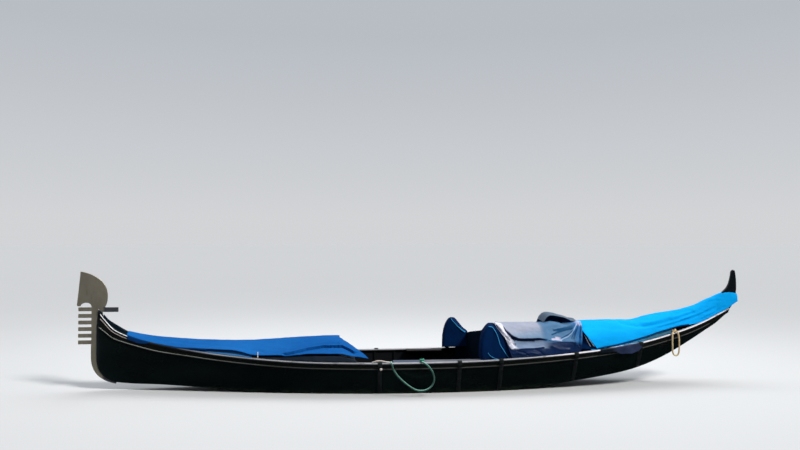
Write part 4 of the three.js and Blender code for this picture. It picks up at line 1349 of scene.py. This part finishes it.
FAR_LEVELS = metres([
    (565, -448, -876, -450, -935), (680, -452, -868, -456, -928), (800, -464, -853, -470, -898),
    (864, -480, -760, -484, -826), (932, -500, -690, -504, -768), (985, -528, -640, -530, -726),
    (1012, -546, -614, -552, -704), (1030, -562, -600, -575, -682), (1038, -576, -592, -594, -660),
])
NEAR_LEVELS = metres([
    (450, -914, -1460, -930, -1480), (533, -911, -1409, -930, -1460), (610, -909, -1375, -932, -1440),
    (733, -909, -1329, -936, -1400), (800, -914, -1299, -944, -1370), (887, -946, -1246, -968, -1330),
    (950, -972, -1199, -1010, -1260), (990, -998, -1163, -1046, -1210), (1010, -1020, -1130, -1070, -1165),
])
NEAR_PIPING = through(metres([
    (450, -1400), (533, -1344), (610, -1290), (733, -1214), (800, -1194), (887, -1166), (950, -1134),
    (990, -1108), (1010, -1085),
]))
FAR_PIPING = through(metres([
    (795, -835), (835, -772), (864, -740), (892, -706), (932, -672), (967, -642), (1006, -604),
    (1038, -588),
]))
FAR_FOLDS = metres([([(-620, 880), (-560, 740), (-520, 600)], 5, 30)])
NEAR_FOLDS = metres([
    ([(-990, 940), (-960, 760), (-950, 560)], 5, 30),
    ([(-1100, 900), (-1080, 700), (-1130, 560)], -5, 30),
])


def far_tilt(z):
    return -0.045 * smoothstep(z, 0.72, 0.565)


far_hood = hood(FAR_LEVELS, -0.340, -0.575, far_tilt, 0.035, FAR_FOLDS, 11.0)
near_hood = hood(NEAR_LEVELS, 0.645, 0.300, lambda z: 0.034, 0.045, NEAR_FOLDS, 71.0)

# the cloth that hangs between the two chairs: along its foot in plan, with the height of its top edge
WALL_LINE = metres([
    (-664, -380, 600), (-740, -378, 610), (-830, -372, 780), (-864, -338, 806), (-880, -250, 826),
    (-893, -130, 846), (-908, 0, 868), (-930, 160, 894), (-948, 280, 914), (-975, 370, 940),
])
WALL_FOOT, WALL_ROUND, WALL_REACH = 0.10, 0.015, 0.40
wall_rows = []
for k, (x, y, top) in enumerate(spline(WALL_LINE, 10)):
    column = []
    for t in steps(0, 1, 26):
        belly = 0.020 * math.sin(math.pi * t) + 0.004 * math.sin(9 * t + 0.25 * k) * (1 - t)
        column.append((x + belly - 0.03 * (1 - t), y, lerp(WALL_FOOT, top - WALL_ROUND, t)))
    for t in steps(0, 1, 3)[1:]:
        a = math.pi / 2 * t
        column.append((x - WALL_ROUND * (1 - math.cos(a)), y, top - WALL_ROUND + WALL_ROUND * math.sin(a)))
    reach = WALL_REACH * smoothstep(y, -0.36, -0.15)
    for t in steps(0, 1, 14)[1:]:
        column.append((x - WALL_ROUND - reach * t, y, top - 0.02 * t - 0.016 * math.sin(math.pi * t)))
    wall_rows.append(column)

# the wall between the chairs takes the darker navy, a painted shade
chair_parts = [
    (*hood_skin(far_hood), 0), (*hood_skin(near_hood), 0), (*skin(wall_rows, closed=False, caps=False), 1),
]
chair_mesh = joined_mesh("chair_canvas", chair_parts, ROUND_SHARP_ANGLE)
chair_cover = piece("chair_canvas", chair_mesh, NAVY, ("chair_cover",), (NAVY_SHADED,))


def near_side_line(grid, place, out):
    """The line up a hood's near side at x = place(z), standing off it a little."""
    line = []
    for ring in grid:
        x = place(ring[0][2])
        for a, b in zip(ring, ring[1:HOOD_POINTS // 3 + 2]):
            if a[0] <= x <= b[0]:
                line.append(lerp(a, b, (x - a[0]) / (b[0] - a[0])) + (0, out, 0))
                break
    return line


def far_piping_radius(t):
    return 0.0125 - 0.007 * smoothstep(t, 0.1, 0.75)


# the piping carries a painted highlight in its pale colour
def piping(name, line, radius):
    return tube(name, line, radius, PIPING)


far_line = [p for p in near_side_line(far_hood, FAR_PIPING, 0.004) if p[2] > 0.795]
far_piping = piping("piping_far", spaced(spline(far_line, 3), 0.01), far_piping_radius)
near_line = near_side_line(near_hood, NEAR_PIPING, 0.003)
near_top = [near_hood[-1][j] + np.array((0, 0.002, 0.004)) for j in range(4, 13, 2)]
near_top = [p for p in near_top if p[0] > near_line[-1][0] + 0.01]
near_piping = piping("piping_near", spaced(spline([*near_line[::3], *near_top], 4), 0.012), 0.0065)
NEAR_SEAM = metres([
    (-1018, 612, 640), (-1035, 585, 645), (-1062, 558, 655), (-1117, 530, 672), (-1171, 515, 690),
])
near_seam = piping("piping_seam", spaced(spline([(x, y, z) for x, z, y in NEAR_SEAM], 6), 0.012), 0.0055)

# seat cover: lines across the boat, from the port gunwale to the ridge on the centreline
SEAT_LINES = metres([
    [(-1388, 705, 545), (-1362, 692, 614), (-1346, 676, 658), (-1324, 655, 740), (-1292, 634, 833),
     (-1222, 615, 915), (-1158, 590, 1011), (-1143, 540, 1058), (-1178, 360, 1040), (-1265, 0, 990)],
    [(-1425, 702, 545), (-1412, 694, 612), (-1400, 682, 660), (-1370, 650, 742), (-1335, 628, 830),
     (-1270, 600, 925), (-1215, 560, 1012), (-1205, 510, 1046), (-1230, 340, 1036), (-1290, 0, 1000)],
    [(-1480, 700, 545), (-1480, 694, 620), (-1475, 680, 662), (-1450, 590, 745), (-1425, 535, 808),
     (-1385, 565, 868), (-1360, 490, 960), (-1350, 390, 1020), (-1350, 220, 1028), (-1360, 0, 1008)],
    [(-1570, 698, 545), (-1570, 692, 618), (-1570, 674, 664), (-1560, 580, 725), (-1550, 510, 778),
     (-1540, 545, 812), (-1540, 455, 905), (-1540, 350, 996), (-1540, 200, 1026), (-1540, 0, 1008)],
    [(-1700, 692, 550), (-1700, 686, 622), (-1700, 664, 668), (-1700, 580, 726), (-1700, 508, 776),
     (-1700, 542, 808), (-1700, 450, 900), (-1700, 350, 990), (-1700, 200, 1025), (-1700, 0, 1008)],
    [(-1860, 680, 558), (-1860, 672, 624), (-1860, 652, 668), (-1860, 580, 732), (-1860, 515, 784),
     (-1860, 535, 812), (-1860, 450, 895), (-1860, 355, 984), (-1860, 200, 1020), (-1860, 0, 1006)],
    [(-2000, 664, 566), (-2000, 655, 632), (-2000, 640, 680), (-2000, 600, 735), (-2000, 550, 772),
     (-2000, 530, 802), (-2000, 440, 895), (-2000, 350, 985), (-2000, 200, 1010), (-2000, 0, 1004)],
    [(-2110, 648, 572), (-2110, 640, 640), (-2110, 625, 690), (-2110, 600, 738), (-2110, 570, 768),
     (-2110, 515, 796), (-2110, 430, 890), (-2110, 330, 1010), (-2110, 210, 1040), (-2110, 0, 1004)],
    [(-2230, 630, 580), (-2230, 624, 640), (-2230, 612, 690), (-2228, 596, 736), (-2225, 572, 764),
     (-2225, 510, 790), (-2222, 430, 880), (-2220, 350, 1000), (-2220, 240, 1034), (-2220, 0, 990)],
    [(-2350, 610, 588), (-2350, 606, 640), (-2350, 598, 690), (-2350, 584, 736), (-2350, 560, 766),
     (-2350, 510, 800), (-2350, 440, 880), (-2350, 355, 968), (-2350, 240, 998), (-2350, 0, 980)],
    [(-2450, 592, 596), (-2450, 588, 640), (-2452, 580, 690), (-2456, 568, 730), (-2462, 552, 765),
     (-2466, 512, 810), (-2474, 440, 905), (-2478, 340, 1002), (-2480, 200, 1014), (-2480, 0, 1010)],
    [(-2525, 575, 606), (-2527, 572, 650), (-2534, 560, 700), (-2544, 548, 745), (-2556, 530, 800),
     (-2572, 490, 880), (-2590, 430, 960), (-2602, 300, 1040), (-2608, 180, 1046), (-2610, 0, 1020)],
])
FAR_SHRINK = 0.85


def seat_row(line):
    x0, y0, z0 = line[0]
    ridge_x = line[-1][0]
    share = (gunwale_inner_half(x0, -1) - 0.004) / y0
    far = [(lerp(ridge_x, x0, y / y0), -y * share, z0 + (z - z0) * FAR_SHRINK) for x, y, z in line[:-1]]
    far[0] = (x0, -y0 * share, z0)
    return [*line, *reversed(far)]


# folds on its port face: a line of (x, z), how far it stands out and its half width
SEAT_FOLDS = metres([
    ([(-1168, 1027), (-1224, 944), (-1314, 840), (-1383, 775), (-1456, 723)], -24, 8),
    ([(-1182, 1054), (-1240, 959), (-1324, 858), (-1469, 745)], 12, 16),
    ([(-1219, 1023), (-1278, 950), (-1355, 858), (-1453, 781)], -10, 9),
    ([(-1322, 945), (-1360, 898), (-1408, 846), (-1470, 806)], -34, 15),
    ([(-1380, 674), (-1480, 670), (-1620, 672), (-1780, 676), (-1900, 690)], 18, 12),
    ([(-1400, 600), (-1480, 615), (-1560, 590), (-1680, 612), (-1800, 590)], 12, 14),
    ([(-1480, 640), (-1560, 625), (-1640, 580)], -12, 10),
    ([(-1760, 665), (-1840, 620), (-1900, 560)], -10, 12),
    ([(-2590, 1040), (-2480, 1000), (-2370, 970), (-2140, 930)], 18, 14),
    ([(-2570, 1010), (-2470, 945), (-2310, 915), (-2090, 850)], -21, 12),
    ([(-2560, 1010), (-2440, 920), (-2350, 860), (-2220, 800)], 24, 15),
    ([(-2540, 990), (-2460, 880), (-2400, 800)], -21, 12),
    ([(-2555, 990), (-2500, 900), (-2450, 800), (-2430, 720)], 21, 14),
    ([(-2590, 1020), (-2550, 850), (-2525, 660)], 15, 16),
    ([(-2570, 980), (-2520, 840), (-2490, 700)], -18, 11),
    ([(-2020, 780), (-2110, 766), (-2230, 762), (-2370, 760), (-2450, 735), (-2490, 670)], 10, 12),
    ([(-2040, 700), (-2160, 650), (-2320, 640)], 8, 22),
])


def seat_shape(v, p):
    d = 0.006 * wrinkle(p, (3.0, 5.0, 5.0), 31.0) + 0.0035 * wrinkle(p, (9.0, 10.0, 10.0), 37.0)
    return d + smoothstep(p[1], 0.16, 0.34) * creases(p, SEAT_FOLDS)


seat_grid = field(loft([seat_row(line) for line in SEAT_LINES], 14, 11), seat_shape)
seat_cover = cloth("seat_cloth", seat_grid, SEAT_CLOTH, ("seat_cover",))
SEAT_HEM_RADIUS = 0.004
seat_hem = edge_tube("seat_cloth_hem", seat_grid[0, :], SEAT_HEM_RADIUS, SEAT_CLOTH)

# the flap over the seat's back stands off the cover at its port edge: x, its crown and its hem there
FLAP_ROWS = metres([
    (-2030, 1036, 1020), (-2058, 1100, 1078), (-2092, 1142, 1124), (-2130, 1160, 1143), (-2180, 1161, 1144),
    (-2250, 1149, 1133), (-2350, 1117, 1107), (-2440, 1091, 1078), (-2510, 1071, 1048), (-2560, 1058, 1034),
    (-2620, 1040, 1024),
])
FLAP_FOOT = 0.84
# down its starboard side: y, and the share of the way from the crown to the foot
FLAP_DOWN = ((-0.21, 0.10), (-0.27, 0.36), (-0.31, 0.62), (-0.34, 0.84), (-0.36, 1))
rows = []
for x, crown, hem in FLAP_ROWS:
    port = [(x - 0.004, 0.182, hem - 0.008), (x, 0.160, hem), (x, 0.050, lerp(hem, crown, 0.6))]
    down = [(x, y, lerp(crown, FLAP_FOOT, t)) for y, t in FLAP_DOWN]
    rows.append([*port, (x, -0.060, crown), (x, -0.130, crown), *down])


def flap_shape(v, p):
    ripple = 0.005 * math.sin(30 * p[0] + 14 * p[1]) * smoothstep(p[0], -2.2, -2.6)
    return 0.006 * wrinkle(p, (6.0, 5.0, 5.0), 41.0) + ripple


flap_grid = field(loft(rows, 8, 8), flap_shape)
# the flap's starboard half takes the brighter lining, painted light in its shade
seat_flap = cloth(
    "seat_back_canvas", flap_grid, FLAP_CLOTH, ("seat_back_cover",), lining=FLAP_INSIDE_PAINTED_LIGHT
)

# navy cloth hanging between the seat cover and the stern cover, tied with two white cords to port
def hanging_point(u, t, side=1, off=0.0):
    share = 1.0 if side > 0 else 0.72
    fore, aft = lerp(-2.570, -2.515, t), lerp(-2.606, -2.860, t)
    y = lerp(0.360, 0.530, t) + 0.006 * math.sin(14 * u + 3 * t) + off
    return (lerp(fore, aft, u), side * share * y, lerp(0.970, 0.632, t))


HANGING_TIE_RADIUS = 0.0055
TIES = [[(0.50, 0.40), (0.53, 0.62), (0.56, 0.88)], [(0.72, 0.48), (0.73, 0.66), (0.76, 0.88)]]
for i, tie in enumerate(TIES):
    line = spaced(spline([hanging_point(u, t, 1, 0.009) for u, t in tie], 8), 0.01)
    tube(f"hanging_tie_{i + 1}", line, HANGING_TIE_RADIUS, CORD)
for label, side in SIDES:
    grid = np.array([[hanging_point(u, t, side) for t in steps(0, 1, 20)] for u in steps(0, 1, 16)])
    hanging = cloth(f"hanging_cloth_{label}", grid, NAVY)

# stern cover
STERN_RIDGE = through(metres([
    (-5410, 1462), (-5340, 1484), (-5250, 1493), (-5126, 1470), (-5004, 1418), (-4910, 1382), (-4780, 1328),
    (-4650, 1270), (-4420, 1204), (-4100, 1148), (-3840, 1098), (-3570, 1034), (-3220, 1032), (-2740, 1028),
    (-2640, 1020),
]))
STERN_EDGE = through(metres([
    (-5410, 1338), (-5318, 1278), (-5212, 1208), (-4987, 1108), (-4705, 1000), (-4507, 966), (-4312, 950),
    (-3920, 866), (-3742, 819), (-3478, 758), (-3195, 700), (-3106, 684), (-2947, 664), (-2808, 642),
    (-2640, 634),
]))
STERN_ENDS, STERN_INSET, STERN_LEAST_HALF = (-5.410, -2.640), 0.030, 0.052
STERN_HEM_RADIUS, STERN_HEM_AFT_RADIUS, STERN_HEM_FORE_RADIUS = 0.009, 0.007, 0.006


def stern_point(x, v):
    side = side_of(v)
    down, out = abs(v) ** 2.1, math.sin(0.5 * math.pi * abs(v)) ** 0.9
    reach = (sheer_half(x, side) - STERN_INSET) * out
    x_low = x + smoothstep(x, -3.1, -2.64) * (0.337 * reach - 0.36 * down)
    half = max(sheer_half(x_low, side) - STERN_INSET, STERN_LEAST_HALF)
    return (x_low, side * half * out, lerp(STERN_RIDGE(x), STERN_EDGE(x_low), down))


STERN_FOLDS = metres([
    [(-3300, 1010), (-3550, 960), (-3850, 1000), (-4150, 1060)],
    [(-3650, 960), (-4000, 1000), (-4300, 1075), (-4600, 1160)],
    [(-4260, 1140), (-4400, 1165), (-4560, 1200)],
    [(-4900, 1333), (-5000, 1342), (-5130, 1345)],
    [(-4350, 1020), (-4700, 1110), (-5000, 1220)],
    [(-4740, 1040), (-4960, 1125), (-5170, 1240)],
    [(-3900, 930), (-4200, 985), (-4500, 1060)],
])


def stern_shape(v, p):
    """Wrinkles, and folds: each a groove with a ridge above it."""
    near = smoothstep(abs(p[1]), 0.02, 0.1)
    d = 0.008 * wrinkle(p, (1.6, 5.0, 5.0), 51.0) + 0.003 * wrinkle(p, (6.0, 11.0, 11.0), 57.0)
    for line in STERN_FOLDS:
        d += near * (0.008 * crease([p[0], 0, p[2] - 0.032], line, 0.024) - 0.016 * crease(p, line, 0.022))
    return d


stern_grid = cloth_grid(stern_point, steps(*STERN_ENDS, 180), steps(-1, 1, 100), stern_shape)
stern_cover = cloth("stern_canvas", stern_grid, CYAN, ("stern_cover",), THICK_CLOTH)
# from this row forward the hem is a thicker dark tube: its dark colour a painted shadow line under the
# cover's edge
HEM_DARK_ROW = 60
for label, j in (("port", -1), ("starboard", 0)):
    dark, pale = stern_grid[HEM_DARK_ROW:, j], stern_grid[:HEM_DARK_ROW + 1, j]
    for name, line, radius, finish in (
        (f"stern_canvas_hem_{label}", dark, STERN_HEM_RADIUS, CYAN_SHADED_HEM),
        (f"stern_canvas_hem_aft_{label}", pale, STERN_HEM_AFT_RADIUS, CYAN),
    ):
        edge_tube(name, line, radius, finish)
fore_line = stern_grid[-1, :]
edge_tube("stern_canvas_hem_fore", fore_line, STERN_HEM_FORE_RADIUS, CYAN)

# the skirt below the stern cover's hem, down to the gunwale
SKIRT_ENDS = (-4.20, -2.70)
for label, side in SIDES:
    rows = []
    for x in steps(*SKIRT_ENDS, 90):
        half, edge, top = sheer_half(x, side), STERN_EDGE(x), sheer_z(x)
        ripple = 0.005 * math.sin(21 * x) + 0.004 * math.sin(47 * x + 1)
        rows.append([
            (x, side * (half - 0.075), edge + 0.012),
            (x, side * (half - 0.050 + ripple), lerp(edge, top, 0.5)),
            (x, side * (half - 0.030 + ripple), top + 0.004),
        ])
    skirt = cloth(f"stern_skirt_{label}", grid_of(rows, 6), CYAN_SKIRT)

# navy cloth folded over the port gunwale
GUNWALE_CLOTH_ENDS, GUNWALE_CLOTH_DROP = (-3.60, -2.84), 0.092
rows = []
for x in steps(*GUNWALE_CLOTH_ENDS, 76):
    half, top = sheer_half(x, 1), sheer_z(x)
    drop = GUNWALE_CLOTH_DROP * smoothstep(x, -3.60, -3.50) * (1 - 0.85 * smoothstep(x, -3.32, -3.02))
    drop += 0.008 * math.sin(31 * x)
    wave = math.sin(26 * x)
    rows.append([
        (x, half - 0.100, top + 0.012), (x, half - 0.045, top + 0.010), (x, half + 0.006, top + 0.007),
        (x, half + 0.014, top - 0.010), (x, half + 0.013 + 0.004 * wave, top - 0.04 - 0.3 * drop),
        (x, half + 0.012 + 0.006 * wave, top - 0.045 - max(drop, 0.01)),
    ])
gunwale_cloth = cloth("gunwale_cloth", grid_of(rows, 6), GUNWALE_CLOTH)

# stage, light and world
# the floor is at the waterline, and open where the hull sits in it
FLOOR_RADIUS, WATERLINE_INSET, BOTTOM_IN_WATER = 300, 0.009, -0.010
wet = [x for x in steps(-2.0, 3.0, 500) if chine_z(x) <= BOTTOM_IN_WATER]
water_lines = [
    [(x, side * (side_half(x, 0, side) - WATERLINE_INSET)) for x in steps(*ends, 48)]
    for side, ends in ((1, (wet[0], wet[-1])), (-1, (wet[-1], wet[0])))
]
hole = []
for line, following in (water_lines, reversed(water_lines)):
    hole += line
    hole += [(line[-1][0], lerp(line[-1][1], following[0][1], t)) for t in steps(0, 1, 8)[1:-1]]
hole_middle = (wet[0] + wet[-1]) / 2
rim = []
for x, y in hole:
    angle = math.atan2(y, x - hole_middle)
    rim.append((FLOOR_RADIUS * math.cos(angle), FLOOR_RADIUS * math.sin(angle)))
after = [*range(1, len(hole)), 0]
floor_faces = [(i, j, len(hole) + j, len(hole) + i) for i, j in enumerate(after)]
floor_data = bpy.data.meshes.new("floor")
floor_data.from_pydata([(x, y, 0) for x, y in hole + rim], [], floor_faces)
floor = linked("floor", floor_data)
floor.visible_glossy = False
pale = Shader("floor_pale", (0.50, 0.51, 0.52), 0.9, Specular_IOR_Level=0.1)
pale.blend(pale.remap(pale.noise(0.4, detail=4), 0.3, 0.7, 0, 0.3), (0.485, 0.495, 0.505))
floor.data.materials.append(pale.material)
floor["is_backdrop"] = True


def light(name, kind, place, target, power):
    made = linked(name, bpy.data.lights.new(name, kind))
    made.data.energy, made.location, made.visible_camera = power, place, False
    aim(made, Vector(target) - Vector(place))
    return made


# a black card behind the camera, mirrored by the lacquer, not seen and throwing no shadow of the key light
CARD_PLACE, CARD_SIZE = (0, 16, 4.6), (44, 9, 1)
bpy.ops.mesh.primitive_plane_add(size=1, location=CARD_PLACE, rotation=(math.radians(90), 0, 0))
card = bpy.context.object
card.name, card.scale, card.visible_camera = "card", CARD_SIZE, False
card.data.materials.append(Shader("card_black", (0.01, 0.01, 0.011), 0.9, Specular_IOR_Level=0.0).material)
card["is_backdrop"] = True

KEY_PLACE, KEY_POWER, KEY_COLOR, KEY_ANGLE = (-5.5, 4.5, 7.0), 3.6, (1, 0.97, 0.93), math.radians(14)
key = light("key", "SUN", KEY_PLACE, (0, 0, 0), KEY_POWER)
key.data.color, key.data.angle = KEY_COLOR, KEY_ANGLE
blockers = bpy.data.collections.new("key_blockers")
blockers.objects.link(card)
blockers.collection_objects[0].light_linking.link_state = "EXCLUDE"
key.light_linking.blocker_collection = blockers
OVERHEAD_PLACE, OVERHEAD_TARGET, OVERHEAD_SIZE, OVERHEAD_POWER = (-1, -2.5, 8.5), (-0.5, 0, 0.6), (15, 5), 700
overhead = light("overhead", "AREA", OVERHEAD_PLACE, OVERHEAD_TARGET, OVERHEAD_POWER).data
overhead.shape, overhead.size, overhead.size_y = "RECTANGLE", *OVERHEAD_SIZE

# the sky by height: dark low down, brightest above that and bluer overhead
SKY_STRENGTH = 0.6
SKY = (
    (0.43, (0.035, 0.045, 0.05, 1)), (0.49, (1.07, 1.09, 1.12, 1)), (0.515, (1.07, 1.09, 1.12, 1)),
    (0.64, (0.8, 0.85, 0.92, 1)),
)
world = bpy.data.worlds.new("world")
bpy.context.scene.world = world
world.use_nodes = True
tree = world.node_tree
direction = add_node(tree, "ShaderNodeTexCoord").outputs["Generated"]
up = add_node(tree, "ShaderNodeSeparateXYZ", {0: direction}).outputs["Z"]
level = add_node(tree, "ShaderNodeMapRange", {"Value": up, "From Min": -1, "From Max": 1}).outputs[0]
ramp = add_node(tree, "ShaderNodeValToRGB", {0: level})
stops = ramp.color_ramp.elements
for i, (position, color) in enumerate(SKY):
    stop = stops[i] if i < 2 else stops.new(position)
    stop.position, stop.color = position, color
tree.links.new(ramp.outputs[0], tree.nodes["Background"].inputs["Color"])
tree.nodes["Background"].inputs["Strength"].default_value = SKY_STRENGTH
bpy.context.scene.view_settings.view_transform = "Standard"

low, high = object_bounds()
